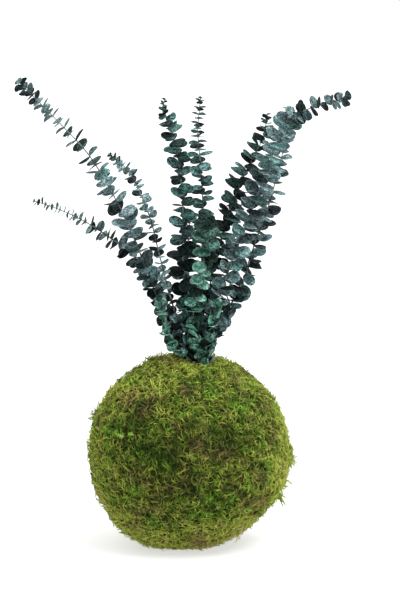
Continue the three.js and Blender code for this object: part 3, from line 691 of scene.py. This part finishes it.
def ring(polar, radius_of, lowest):
    """The ball's points at one polar angle. Near the crown, the circles centre on the stems."""
    turns = np.arange(1 if polar in (0, math.pi) else BED_SIDES) * 2 * math.pi / BED_SIDES
    lean = smooth(clamp(1 - 2 * polar / math.pi)) * math.cos(polar) / (NECK[2] - BALL_CENTRE[2])
    x = math.sin(polar) * np.cos(turns) + lean * NECK[0]
    y = math.sin(polar) * np.sin(turns) + lean * NECK[1]
    directions = np.stack((x, y, np.full(len(turns), math.cos(polar))), axis=1)
    directions /= np.linalg.norm(directions, axis=1)[:, None]
    points = directions * radius_of(directions)[:, None] * (1, 1, BALL_SQUASH) + BALL_CENTRE
    points[:, 2] = np.maximum(points[:, 2], lowest)
    return points


def rings(start, stop, bands, radius_of, lowest=-math.inf):
    return [ring(polar, radius_of, lowest) for polar in np.linspace(start, stop, bands + 1)]


def skin(loops, sides=BED_SIDES):
    """Points and outward faces over rings of points, from the top down. A pole is a ring of one point."""
    faces, start = [], 0
    for upper, lower in zip(loops, loops[1:]):
        below = start + len(upper)
        for k in range(sides):
            a, b = (start + j % len(upper) for j in (k, k + 1))
            d, c = (below + j % len(lower) for j in (k, k + 1))
            faces.append(tuple(dict.fromkeys((a, d, c, b))))
        start = below
    return np.concatenate(loops), faces


def tube(path, radii, sides=3):
    """A closed tube through a path's points, drawn to a point at both ends."""
    path = np.asarray(path, float)
    turns = [2 * math.pi * k / sides for k in range(sides)]
    loops = [path[:1]]
    for before, here, after, radius in zip(path, path[1:], path[2:], radii[1:]):
        along = unit(after - before)
        side = unit(np.cross(along, (0.12, 0.05, 1)))
        up = np.cross(side, along)
        loops.append([here + radius * (math.cos(turn) * side + math.sin(turn) * up) for turn in turns])
    return skin([*loops, path[-1:]], sides)


def join_tubes(tubes):
    points, faces = [], []
    for path, radii in tubes:
        more, sides = tube(path, radii)
        faces += [tuple(i + len(points) for i in face) for face in sides]
        points.extend(more)
    return points, faces


def gather(name, tubes):
    """Several tubes as one mesh, each point with its reach: 0 at the frond's root and 1 at its far end."""
    points, faces = join_tubes(tubes)
    made = mesh_object(name, points, faces)
    distance = np.linalg.norm(np.array(points) - points[0], axis=1)
    set_attributes(made, reach=distance / distance.max())
    return made


def frond_tubes(length, draw, girth=1):
    """A feathery frond along +X: a curved axis with branchlets on both sides, rooted under the surface."""
    bend = draw(-0.35, 0.35) * length
    crest = draw(1.6, 2.6)

    def axis(s):
        rise = crest * math.sin(2.3 * s) - ROOT_DEPTH * (1 - s)
        return np.array((length * s * (1 - 0.08 * s), bend * s * s, rise))

    tubes = [([axis(s) for s in (0, 0.2, 0.45, 0.75, 1)], girth * np.array((0, 0.42, 0.4, 0.34, 0)))]
    for i, s in enumerate((0.16, 0.27, 0.38, 0.49, 0.6, 0.71, 0.82)):
        side = 1 if i % 2 else -1
        reach = length * (0.36 - 0.2 * s) * draw(0.75, 1.25)
        heading = math.radians(draw(38, 68)) * side
        out = np.array((math.cos(heading), math.sin(heading), draw(-0.1, 0.35)))
        root = axis(s)
        droop = np.array((0, 0, -0.12 * reach))
        tubes.append(([root, root + 0.4 * reach * out, root + reach * out + droop], (0, 0.36 * girth, 0)))
    return tubes


def frond(name, length, draw):
    return gather(name, frond_tubes(length, draw))


def strand(name, length, draw, curl=1, rise=1):
    """A loose curly strand, rooted under the surface."""
    heading, step = draw(-0.5, 0.5), length / 4
    path = [np.array((0.0, 0.0, -ROOT_DEPTH))]
    turn = draw(0.2, 0.62) * (1 if draw(-1, 1) > 0 else -1)
    climb = draw(0.55, 0.95)
    for _ in range(4):
        path.append(path[-1] + step * np.array((math.cos(heading), math.sin(heading), climb * rise)))
        heading += curl * (turn + draw(-0.35, 0.35))
        climb -= draw(0.2, 0.45)
    girth = draw(0.3, 0.44)
    return gather(name, [(path, (0, girth, girth, 0.85 * girth, 0))])


def long_strand(name, length, draw):
    """A long pale strand that lies nearly straight on the others."""
    return strand(name, length, draw, 0.3, 0.4)


def moss_tree():
    """Scatters fronds over a surface, each turned at random and leaning out of it."""
    numbers = dict.fromkeys(("Lean low", "Lean high", "Size low", "Size high", "Comb", "Lowest"), "Float")
    tree, add, given = new_geometry_tree(
        "moss scatter",
        {"Fronds": "Collection", "Density": "Float", "Seed": "Int", **numbers, "Material": "Material"},
    )
    cover, stand = (
        add("GeometryNodeInputNamedAttribute", [name], data_type="FLOAT") for name in ("cover", "stand")
    )
    density = add("MULTIPLY", [given["Density"], cover])
    spread = add(
        "GeometryNodeDistributePointsOnFaces",
        {"Mesh": given["Geometry"], "Density": density, "Seed": given["Seed"]},
    )
    # Four draws for each frond: its shade, spin, lean and size.
    ranges = (
        (0, 1), (0, 2 * math.pi), (given["Lean low"], given["Lean high"]),
        (given["Size low"], given["Size high"]),
    )
    shade, spin, lean, size = (
        add("FunctionNodeRandomValue", {2: low, 3: high, "Seed": seed})
        for seed, (low, high) in enumerate(ranges, DRAW_SEED)
    )
    marked = add(
        "GeometryNodeStoreNamedAttribute", {"Geometry": spread, "Name": "shade", "Value": shade},
        data_type="FLOAT",
    )
    rise = add("ADD", [lean, stand])
    tip_up = add("MULTIPLY", [rise, -1])
    # The moss is combed along the grain: spin - comb * sin(2 * spin).
    twice = add("MULTIPLY", [spin, 2])
    wave = add("SINE", [twice])
    pull = add("MULTIPLY", [wave, given["Comb"]])
    heading = add("SUBTRACT", [spin, pull])
    turn = add("CombineXYZ", {"Y": tip_up, "Z": heading})
    pose = add("FunctionNodeEulerToRotation", [turn])
    grain = add("GeometryNodeInputNamedAttribute", ["grain"], data_type="FLOAT_VECTOR")
    lie = add(
        "FunctionNodeAxesToRotation", [spread.outputs["Normal"], grain], primary_axis="Z", secondary_axis="X",
    )
    facing = add("FunctionNodeRotateRotation", [lie, pose], rotation_space="LOCAL")
    stock = add("GeometryNodeCollectionInfo", [given["Fronds"], True, True])
    placed = add(
        "GeometryNodeInstanceOnPoints",
        {"Points": marked, "Instance": stock, "Pick Instance": True, "Rotation": facing, "Scale": size},
    )
    real = add("GeometryNodeRealizeInstances", [placed])
    # Under the lowest height z becomes lowest * exp(z / lowest - 1), so nothing goes through the floor.
    x, y, z = add("SeparateXYZ", [add("GeometryNodeInputPosition")]).outputs
    share = add("DIVIDE", [z, given["Lowest"]])
    under = add("SUBTRACT", [share, 1])
    pressed = add("EXPONENT", [under])
    low = add("MULTIPLY", [pressed, given["Lowest"]])
    is_low = add("FunctionNodeCompare", [z, given["Lowest"]], operation="LESS_THAN")
    flat = add("CombineXYZ", [x, y, low])
    settled = add("GeometryNodeSetPosition", [real, is_low, flat])
    rounded = add("GeometryNodeSetShadeSmooth", [settled])
    coloured = add("GeometryNodeSetMaterial", {0: rounded, 2: given["Material"]})
    add("NodeGroupOutput", [coloured])
    return tree


def scatter_surface(name):
    """The surface that fronds grow from, with how densely they grow there and how far they stand up."""
    points, faces = skin(rings(0, LAST_FROND_ANGLE, BED_BANDS, bed_radius, 0))
    made = mesh_object(name, points, faces)
    from_centre = points - BALL_CENTRE
    directions = from_centre / np.linalg.norm(from_centre, axis=1)[:, None]
    tuft = sum(bell(directions, middle, TUFT_SPREAD) for middle in TUFTS)
    x, y, z = directions.T
    clumps = np.sin(23 * x + 3 * np.sin(8 * y)) * np.sin(21 * z + 3 * np.sin(7 * x)) * np.sin(22 * y + 1)
    # The grain is level in front and follows the rim near the edge: it's half the angle of a sum of vectors,
    # each at twice its own angle.
    near_rim = x * x + z * z
    grain = 0.5 * np.arctan2(-2 * x * z * near_rim, LEVEL_GRAIN + (z * z - x * x) * near_rim)
    # The moss is old in clouds; at the crown, low down and at the sides it is painted fresher and lighter, as
    # painted light.
    clouds = np.sin(6.1 * x + 2.2 * np.sin(5.3 * z)) * np.cos(6.7 * z - 1.9 * np.sin(4.7 * x) + 2.3 * y)
    age = 0.25 + 0.35 * clouds - 0.6 * np.clip(z - 0.3, 0, 1)
    age -= 2.6 * np.clip(-0.38 - z, 0, 1) + 1.5 * np.clip(abs(x) - 0.68, 0, 1)
    bells = [(bell(directions, middle, reach), older, browner) for middle, reach, older, browner in PATCHES]
    set_attributes(
        made, grain=np.column_stack((np.cos(grain), 0 * grain, np.sin(grain))),
        cover=1 + 0.25 * clumps + 2 * tuft, stand=0.9 * tuft,
        age=age + sum(older * share for share, older, _ in bells),
        brown=sum(browner * share for share, _, browner in bells),
    )
    return made


def moss_layers(name, shape, kinds, material, layers, length, density, lean, size, comb):
    """Layers of one kind of moss, each layer a piece of its own, from several samples of a shape."""
    stock = bpy.data.collections.new(name + "_stock")
    bpy.context.scene.collection.children.link(stock)
    samples = [shape(f"{name}_sample_{i}", length / MM, dice(SAMPLE_SEED + 13 * i)) for i in range(kinds)]
    for sample in samples:
        bpy.context.scene.collection.objects.unlink(sample)
        stock.objects.link(sample)
    tree = moss_tree()
    values = {
        "Fronds": stock, "Density": density, "Lean low": lean[0], "Lean high": lean[1], "Size low": size[0],
        "Size high": size[1], "Comb": comb, "Lowest": FOOT_FADE * MM, "Material": material,
    }
    for layer in range(layers):
        made = scatter_surface(f"{name}_{layer + 1}")
        grow(made, tree, {**values, "Seed": LAYER_SEED + 17 * layer})
        dress(made, "moss")
    remove(samples)
    bpy.data.collections.remove(stock)


def moss_shoots(material):
    """Young shoots, each a frond that stands out of the moss."""
    tubes = []
    for number, (direction, pointing, length) in enumerate(SHOOTS):
        outward = unit(np.array(direction, float))
        root = outward * moss_radius(outward[None])[0] * (1, 1, BALL_SQUASH) + BALL_CENTRE
        along = unit(np.array(pointing, float))
        side = unit(np.cross(outward, along))
        axes = np.array((along, side, np.cross(along, side)))
        for path, radii in frond_tubes(length, dice(SHOOT_SEED + number), SHOOT_GIRTH):
            tubes.append((root + np.array(path) @ axes, radii))
    made = mesh_object("moss_shoots", *join_tubes(tubes))
    set_attributes(made, **{name: [value] * len(made.data.vertices) for name, value in SHOOT_LOOKS.items()})
    made.data.materials.append(material)
    dress(made, "moss")


class KOKEDAMA_OT_moss_bed(bpy.types.Operator):
    """Wraps the soil in the matted bed of the moss, which leaves a mouth for the stems"""

    bl_idname = "kokedama.moss_bed"
    bl_label = "Moss bed"

    def execute(self, context):
        lining = rings(math.pi, MOUTH_ANGLE, LINING_BANDS, lining_radius)
        outside = rings(MOUTH_ANGLE, math.pi, BED_BANDS, bed_radius, 0)
        bed = mesh_object("moss_bed", *skin([*lining, *outside]))
        bed.data.shade_smooth()
        bed.data.materials.append(new_material("matted_moss_humus", bed_look))
        dress(bed, "moss", "moss_cover")
        return {"FINISHED"}


class KOKEDAMA_OT_moss_fronds(bpy.types.Operator):
    """Covers the moss bed with feathery fronds and loose curly strands"""

    bl_idname = "kokedama.moss_fronds"
    bl_label = "Moss fronds"

    def execute(self, context):
        settings = context.scene.kokedama_moss
        fern = new_material("sheet_moss_fronds", moss_look, FROND_PALETTE, settings.fresh_frond)
        curl = new_material("sheet_moss_strands", moss_look, STRAND_PALETTE, settings.fresh_strand)
        moss_layers(
            "moss_fronds", frond, 6, fern, settings.frond_layers, settings.frond_length,
            settings.frond_density, lean=(0.0, 0.3), size=(0.65, 1.2), comb=0.42,
        )
        moss_layers(
            "moss_strands", strand, 9, curl, settings.strand_layers, settings.strand_length,
            settings.strand_density, lean=(-0.15, 0.25), size=(0.6, 1.4), comb=0.52,
        )
        moss_layers(
            "moss_long_strands", long_strand, 5, curl, 1, settings.long_length, settings.long_density,
            lean=(-0.02, 0.1), size=(0.6, 1.2), comb=0.45,
        )
        moss_shoots(new_material("sheet_moss_shoots", moss_look, SHOOT_PALETTE, settings.young_shoot))
        return {"FINISHED"}


class KOKEDAMA_OT_soil(bpy.types.Operator):
    """Gives the frame's soil ball its finish"""

    bl_idname = "kokedama.soil"
    bl_label = "Soil ball"

    def execute(self, context):
        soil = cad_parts["soil_ball"]
        soil.data.materials.clear()
        soil.data.materials.append(new_material("moist_potting_soil", soil_look))
        return {"FINISHED"}


class Line:
    """A stem's centre line from the soil's top to its tip, by the distance along it."""

    def __init__(self, sprig):
        across, back = sprig["foot"]
        self.foot = NECK + STEM_PITCH * np.array((across, math.sqrt(0.75) * back, 0))
        flare = (self.foot - NECK) * BUNCH_FLARE + NECK + (0, 0, FLARE_HEIGHT)
        knots = np.array([self.foot, flare, *sprig["route"]], float)
        ends = 2 * knots[[0, -1]] - knots[[1, -2]]
        knots = np.vstack((ends[0], knots, ends[1]))
        samples = [knots[1]]
        for before, here, there, after in zip(knots, knots[1:], knots[2:], knots[3:]):
            leaving, arriving = (there - before) / 2, (after - here) / 2
            for t in np.arange(1, CURVE_STEPS + 1) / CURVE_STEPS:
                samples.append(
                    here
                    + t * leaving
                    + t**2 * (3 * (there - here) - 2 * leaving - arriving)
                    + t**3 * (2 * (here - there) + leaving + arriving)
                )
        self.samples = np.array(samples)
        steps = np.linalg.norm(np.diff(self.samples, axis=0), axis=1)
        self.distances = np.concatenate(((0,), np.cumsum(steps)))
        self.length = self.distances[-1]

    def at(self, distance):
        return np.array([np.interp(distance, self.distances, column) for column in self.samples.T])

    def along(self, distance):
        return unit(self.at(distance + 1) - self.at(distance - 1))


def by_distance(table, from_tip):
    return float(np.interp(from_tip, list(table), list(table.values())))


def crowding_at(height):
    """How crowded the leaves are: 1 at the foot of the bunch, and 0 above it."""
    return smooth(clamp((LOW_ZONE[1] - height) / (LOW_ZONE[1] - LOW_ZONE[0])))


def pairs_of(sprig, line):
    """The leaf pairs along a stem, from the lowest up, with each pair's frame and its leaves' whims."""
    settings = bpy.context.scene.kokedama_sprigs
    gap, share = settings.pair_gap / MM, settings.pair_gap_share
    spots, from_tip = [], TIP_BUD
    while line.at(line.length - from_tip)[2] > FIRST_LEAF_Z:
        size, at = by_distance(sprig["sizes"], from_tip), line.length - from_tip
        low = crowding_at(line.at(at)[2])
        unrest = mix(1, LOW_UNREST, low) * by_distance(sprig.get("unrest", EVEN), from_tip)
        spots.insert(0, (at, size, from_tip, unrest))
        crowding = min(mix(TIP_CROWDING, 1, clamp(from_tip / TIP_REACH)), mix(1, LOW_CROWDING, low))
        from_tip += (gap + share * size) * by_distance(sprig.get("gaps", EVEN), from_tip) * crowding
    draw = dice(sprig["seed"])
    normal, pairs = np.array((1.0, 0, 0)), []
    for at, size, from_tip, unrest in spots:
        along = line.along(at)
        normal = unit(normal - (normal @ along) * along)
        rock = by_distance(sprig.get("rocks", STILL), from_tip) * (1 if len(pairs) % 2 else -1)
        nod = math.radians(by_distance(sprig["nods"], from_tip) + rock + draw(-NOD_WHIM, NOD_WHIM))
        facing = unit(along + math.tan(nod) * LIGHT_SIDE)
        level = unit(normal - (normal @ facing) * facing)
        whims = [{name: draw(*span) for name, span in LEAF_WHIMS.items()} for _ in range(2)]
        turn = by_distance(sprig["phases"], from_tip) + unrest * draw(-TURN_WHIM, TURN_WHIM)
        pairs.append(
            dict(
                centre=line.at(at), size=size, from_tip=from_tip, facing=facing, level=level, at=at,
                across=np.cross(facing, level), turn=math.radians(turn), whims=whims, unrest=unrest,
                tone=by_distance(sprig["tones"], from_tip),
            )
        )
    return pairs


def leaf_outline(s):
    """A leaf's width along its length, as a share of its whole width: round, and broader at its base."""
    return 2 * math.sqrt(max(0, s * (1 - s))) * (1.1 - 0.2 * s)


def make_leaf(pair, quarter, lift, share, whims):
    """A leaf of a pair, so many quarter turns round the stem, with its axis along it and its face upward."""
    turn = pair["turn"] + quarter * math.pi / 2
    out = pair["level"] * math.cos(turn) + pair["across"] * math.sin(turn)
    axis = out * math.cos(lift) + pair["facing"] * math.sin(lift)
    flat = pair["facing"] * math.cos(lift) - out * math.sin(lift)
    roll = math.radians(whims["roll"] * pair["unrest"])
    face = flat * math.cos(roll) + np.cross(axis, flat) * math.sin(roll)
    length = pair["size"] * whims["length"] * share
    tone = smooth(clamp(pair["tone"] + whims["tone"] * math.sqrt(pair["unrest"])))
    return dict(
        root=pair["centre"], axis=axis, face=face, length=length, tone=tone, hue=whims["hue"],
        width=length * BREADTH * whims["width"], curl=whims["curl"], cup=whims["cup"],
    )


def leaf_point(leaf, s, side):
    half = 0.5 * leaf["width"] * leaf_outline(s)
    rise = leaf["length"] * leaf["curl"] * s * s + leaf["cup"] * half * side * side
    wide = np.cross(leaf["face"], leaf["axis"])
    return leaf["root"] + leaf["axis"] * leaf["length"] * s + wide * half * side + leaf["face"] * rise


def simple_blade(leaf):
    """The core of a leaf as a fan of triangles, for seeing whether it has room, and its middle and rim."""
    points = np.array([leaf_point(leaf, s, side) for s, side in [BLADE_MIDDLE, *BLADE_RIM]])
    count = len(points)
    fan = [(0, i, i % (count - 1) + 1) for i in range(1, count)]
    core = points[0] + CORE * (points - points[0])
    return BVHTree.FromPolygons([Vector(p) for p in core], fan, all_triangles=True), points


def is_clear_of_moss(points):
    from_centre = (np.array(points) - BALL_CENTRE) / (1, 1, BALL_SQUASH)
    distance = np.linalg.norm(from_centre, axis=1)
    return bool(np.all(distance > moss_radius(from_centre / distance[:, None]) + MOSS_CLEARANCE))


def takes_place(leaf, stems, taken):
    """Whether a leaf is clear of the moss, of the stems and of the leaves so far. If so, it joins these."""
    blade, points = simple_blade(leaf)
    if leaf["length"] < SMALLEST_LEAF or not is_clear_of_moss(points[1:]):
        return False
    blades, middles, reaches = taken
    reach = LEAF_REACH * leaf["length"]
    apart = np.linalg.norm(np.reshape(middles, (-1, 3)) - points[0], axis=1)
    near = np.flatnonzero(apart < reach + np.array(reaches))
    if any(blade.overlap(other) for other in (*stems, *(blades[k] for k in near))):
        return False
    for values, value in zip(taken, (blade, points[0], reach)):
        values.append(value)
    return True


def grow_leaves(sprigs):
    """Every leaf of every sprig. A leaf whose place is taken bends or stays smaller, or isn't there."""
    taken, stems = ([], [], []), [stem_fan(line) for _, line, _ in sprigs]
    for number, (sprig, _, pairs) in enumerate(sprigs):
        others = stems[:number] + stems[number + 1:]
        for i, pair in enumerate(pairs):
            crowding = crowding_at(pair["centre"][2])
            youth = clamp(1 - pair["from_tip"] / YOUNG_REACH)
            rise = mix(sprig["lift"] + YOUNG_RISE * youth, LOW_RISE, crowding)
            pair["leaves"] = []
            for j, whims in enumerate(pair["whims"]):
                for bend, share in BENDS:
                    lift = math.radians(rise + whims["lift"] * (1 + crowding) + bend)
                    leaf = make_leaf(pair, i % 2 + 2 * j, lift, share, whims)
                    if takes_place(leaf, others, taken):
                        pair["leaves"].append(leaf)
                        break


def stem_fan(line):
    """A stem as a thin three-sided tube, for seeing whether a leaf crosses it."""
    path = [line.at(d) for d in np.linspace(0, line.length, int(line.length / 8) + 2)]
    points, faces = tube(path, [STEM_RADIUS[0]] * len(path))
    return BVHTree.FromPolygons([Vector(p) for p in points], faces)


def blade_object():
    """A leaf of unit length and width with its thickness in metres, closed, its root at the origin along +X.

    Its points hold how much they take part in the leaf's curl and cup.
    """
    rows = [(1 - math.cos(math.pi * k / BLADE_ROWS)) / 2 for k in range(BLADE_ROWS + 1)]
    points, shares, spots, faces, index = [], [], [], [], {}
    for level in (1, -1):
        for r, s in enumerate(rows):
            for c, side in enumerate(BLADE_COLUMNS):
                is_end, is_rim = r in (0, BLADE_ROWS), abs(side) == 1
                key = (r, 0 if is_end else c, 0 if is_end or is_rim else level)
                if key not in index:
                    index[key] = len(points)
                    half = 0.5 * leaf_outline(s)
                    thick = 0 if is_end or is_rim else BLADE_HALF * MM * (1 - 0.5 * side * side)
                    points.append((s, half * side, level * thick))
                    shares.append((s * s, half * side * side))
                    spots.append((0.5 + 0.5 * (0 if is_end else side), s))
                index[(r, c, level)] = index[key]
        for r in range(BLADE_ROWS):
            for c in range(len(BLADE_COLUMNS) - 1):
                corners = [index[(a, b, level)] for a, b in ((r, c), (r + 1, c), (r + 1, c + 1), (r, c + 1))]
                face = tuple(dict.fromkeys(corners))
                faces.append(face if level == 1 else face[::-1])
    made = mesh_object("blade_sample", np.array(points) / MM, faces)
    set_attributes(made, **dict(zip(("curl_share", "cup_share"), zip(*shares))))
    layer = made.data.uv_layers.new(name="leaf")
    for loop in made.data.loops:
        layer.data[loop.index].uv = spots[loop.vertex_index]
    return made


def sprig_tree():
    """Sweeps the stem along its line, sets a leaf on each leaf point, and curls and cups it."""
    tree, add, given = new_geometry_tree(
        "leafy stem", {"Stem sides": "Int", "Blade": "Object", "Bark": "Material", "Leaf": "Material"},
    )
    numbers = {
        name: add("GeometryNodeInputNamedAttribute", [name], data_type="FLOAT")
        for name in ("length", "width", "curl", "cup", "curl_share", "cup_share", "girth")
    }
    axis, face = (
        add("GeometryNodeInputNamedAttribute", [name], data_type="FLOAT_VECTOR") for name in ("axis", "face")
    )
    line = add("GeometryNodeMeshToCurve", [given["Geometry"]])
    circle = add("GeometryNodeCurvePrimitiveCircle", {"Resolution": given["Stem sides"], "Radius": 1.0})
    stem = add(
        "GeometryNodeCurveToMesh",
        {"Curve": line, "Profile Curve": circle, "Scale": numbers["girth"], "Fill Caps": True},
    )
    barked = add("GeometryNodeSetMaterial", {0: stem, 2: given["Bark"]})

    blade = add("GeometryNodeObjectInfo", [given["Blade"]]).outputs["Geometry"]
    is_leaf = add("FunctionNodeCompare", [numbers["length"], 0], operation="GREATER_THAN")
    facing = add("FunctionNodeAxesToRotation", [axis, face], primary_axis="X", secondary_axis="Z")
    size = add("CombineXYZ", [numbers["length"], numbers["width"], 1])
    leaves = add(
        "GeometryNodeInstanceOnPoints",
        {
            "Points": given["Geometry"], "Selection": is_leaf, "Instance": blade, "Rotation": facing,
            "Scale": size,
        },
    )
    real = add("GeometryNodeRealizeInstances", [leaves])
    rises = []
    for name, reach in (("curl", "length"), ("cup", "width")):
        part = add("MULTIPLY", [numbers[name + "_share"], numbers[name]])
        rises.append(add("MULTIPLY", [part, numbers[reach]]))
    rise = add("ADD", rises)
    offset = add("VectorMath", {0: face, "Scale": rise}, operation="SCALE")
    shaped = add("GeometryNodeSetPosition", {"Geometry": real, "Offset": offset})
    coloured = add("GeometryNodeSetMaterial", {0: shaped, 2: given["Leaf"]})
    both = add("GeometryNodeJoinGeometry", [barked])
    fill(tree, both, [coloured])
    rounded = add("GeometryNodeSetShadeSmooth", [both])
    add("NodeGroupOutput", [rounded])
    return tree


def sprig_layout(name, line, pairs):
    """A stem's line as joined points, and a loose point for each leaf, with all that the tree reads."""
    spots = {0.0: 1.0, line.length: 0.5}
    for pair in pairs:
        for step, swell in KNOT.items():
            spots[float(np.clip(pair["at"] + step, 0, line.length))] = swell
    distances = sorted(spots)
    stem = [line.foot - (0, 0, NECK[2] - STEM_FOOT_Z), *(line.at(d) for d in distances)]
    girth = [STEM_RADIUS[0], *(mix(*STEM_RADIUS, d / line.length) * spots[d] for d in distances)]
    leaves = [leaf for pair in pairs for leaf in pair["leaves"]]
    edges = [(i, i + 1) for i in range(len(stem) - 1)]
    made = mesh_object(name, [*stem, *(leaf["root"] for leaf in leaves)], [], edges)
    for value, blank in LEAF_VALUES.items():
        scale = MM if value in ("length", "width") else 1
        set_attributes(made, **{value: [blank] * len(stem) + [leaf[value] * scale for leaf in leaves]})
    set_attributes(made, girth=[g * MM for g in girth] + [0] * len(leaves))
    return made


class KOKEDAMA_OT_sprigs(bpy.types.Operator):
    """Grows the eucalyptus sprigs, each a stem with its round leaves in pairs"""

    bl_idname = "kokedama.sprigs"
    bl_label = "Sprigs"

    def execute(self, context):
        settings = context.scene.kokedama_sprigs
        sprigs = [(sprig, line := Line(sprig), pairs_of(sprig, line)) for sprig in SPRIGS]
        grow_leaves(sprigs)
        bark = new_material("young_eucalyptus_bark", bark_look)
        finishes = {}
        for kind, (_, deep, face, share) in LEAF_FINISH.items():
            choices = deep, face, getattr(settings, kind + "_bloom"), share
            finishes[kind] = new_material(f"eucalyptus_leaf_{kind}", leaf_look, *choices)
        blade, tree = blade_object(), sprig_tree()
        for sprig, line, pairs in sprigs:
            made = sprig_layout("leafy_" + sprig["name"], line, pairs)
            leaf = finishes[sprig["kind"]]
            grow(made, tree, {"Stem sides": settings.stem_sides, "Blade": blade, "Bark": bark, "Leaf": leaf})
            dress(made, LEAF_FINISH[sprig["kind"]][0], sprig["name"])
        remove([blade])
        return {"FINISHED"}


def aim(obj, place, target):
    obj.location = place
    obj.rotation_mode = "QUATERNION"
    obj.rotation_quaternion = (Vector(target) - obj.location).to_track_quat("-Z", "Y")


class KOKEDAMA_OT_stage(bpy.types.Operator):
    """Sets the pale floor, the soft light and the camera"""

    bl_idname = "kokedama.stage"
    bl_label = "Stage"

    def execute(self, context):
        scene, settings = context.scene, context.scene.kokedama_stage
        bpy.ops.mesh.primitive_circle_add(
            vertices=FLOOR_SIDES, radius=settings.floor_radius, fill_type="NGON",
        )
        floor = context.object
        floor.name = "floor"
        floor.data.materials.append(new_material("opal_acrylic_light_table", floor_look))

        scene.camera = new_object("camera", bpy.data.cameras.new("camera"))
        scene.camera.data.lens = settings.lens
        aim(scene.camera, CAMERA_AT, CAMERA_AIM)

        lamp = bpy.data.lights.new("key", "SUN")
        lamp.angle, lamp.energy = KEY_WIDTH, settings.key
        aim(new_object("key", lamp), KEY_AT, (0, 0, 0))

        scene.world = bpy.data.worlds.new("studio")
        scene.world.use_nodes = True
        tree = scene.world.node_tree
        tree.nodes.clear()
        # The light comes from overhead and from behind; the camera's side is dim, and looks plain white.
        add = partial(node, tree)
        _, y, z = add("SeparateXYZ", [add("TexCoord").outputs["Generated"]]).outputs
        overhead = add("MapRange", [z, 0.2, 0.9, 0, 1.1], interpolation_type="SMOOTHSTEP")
        behind = add("MapRange", [y, -0.6, 0.3, 0.18, 0.95], interpolation_type="SMOOTHSTEP")
        light = add("ADD", [overhead, behind])
        level = add("MULTIPLY", [light, settings.sky])
        glow, plain = (add("Background", [WHITE, strength]) for strength in (level, 1))
        seen = add("LightPath").outputs["Is Camera Ray"]
        add("OutputWorld", [add("MixShader", [seen, glow, plain])])
        scene.view_settings.view_transform = "Standard"
        return {"FINISHED"}


class KOKEDAMA_PT_panel(bpy.types.Panel):
    """Lists the settings and the steps"""

    bl_label = "Kokedama"
    bl_idname = "KOKEDAMA_PT_panel"
    bl_space_type = "VIEW_3D"
    bl_region_type = "UI"
    bl_category = "Kokedama"

    def draw(self, context):
        for group_name in GROUPS:
            group, box = getattr(context.scene, group_name), self.layout.box()
            for name in type(group).__annotations__:
                box.prop(group, name)
        for operator in OPERATORS:
            self.layout.operator(operator.bl_idname)


GROUPS = {"kokedama_moss": MossSettings, "kokedama_sprigs": SprigSettings, "kokedama_stage": StageSettings}
OPERATORS = (
    KOKEDAMA_OT_stage, KOKEDAMA_OT_moss_bed, KOKEDAMA_OT_moss_fronds, KOKEDAMA_OT_soil, KOKEDAMA_OT_sprigs,
)


def register():
    for cls in (*GROUPS.values(), *OPERATORS, KOKEDAMA_PT_panel):
        bpy.utils.register_class(cls)
    for name, cls in GROUPS.items():
        setattr(bpy.types.Scene, name, PointerProperty(type=cls))


def unregister():
    for name in GROUPS:
        delattr(bpy.types.Scene, name)
    for cls in (KOKEDAMA_PT_panel, *reversed(OPERATORS), *reversed(GROUPS.values())):
        bpy.utils.unregister_class(cls)


def main():
    register()
    bpy.ops.kokedama.stage()
    bpy.ops.kokedama.moss_bed()
    bpy.ops.kokedama.moss_fronds()
    bpy.ops.kokedama.soil()
    bpy.ops.kokedama.sprigs()


if __name__ == "__main__":
    main()
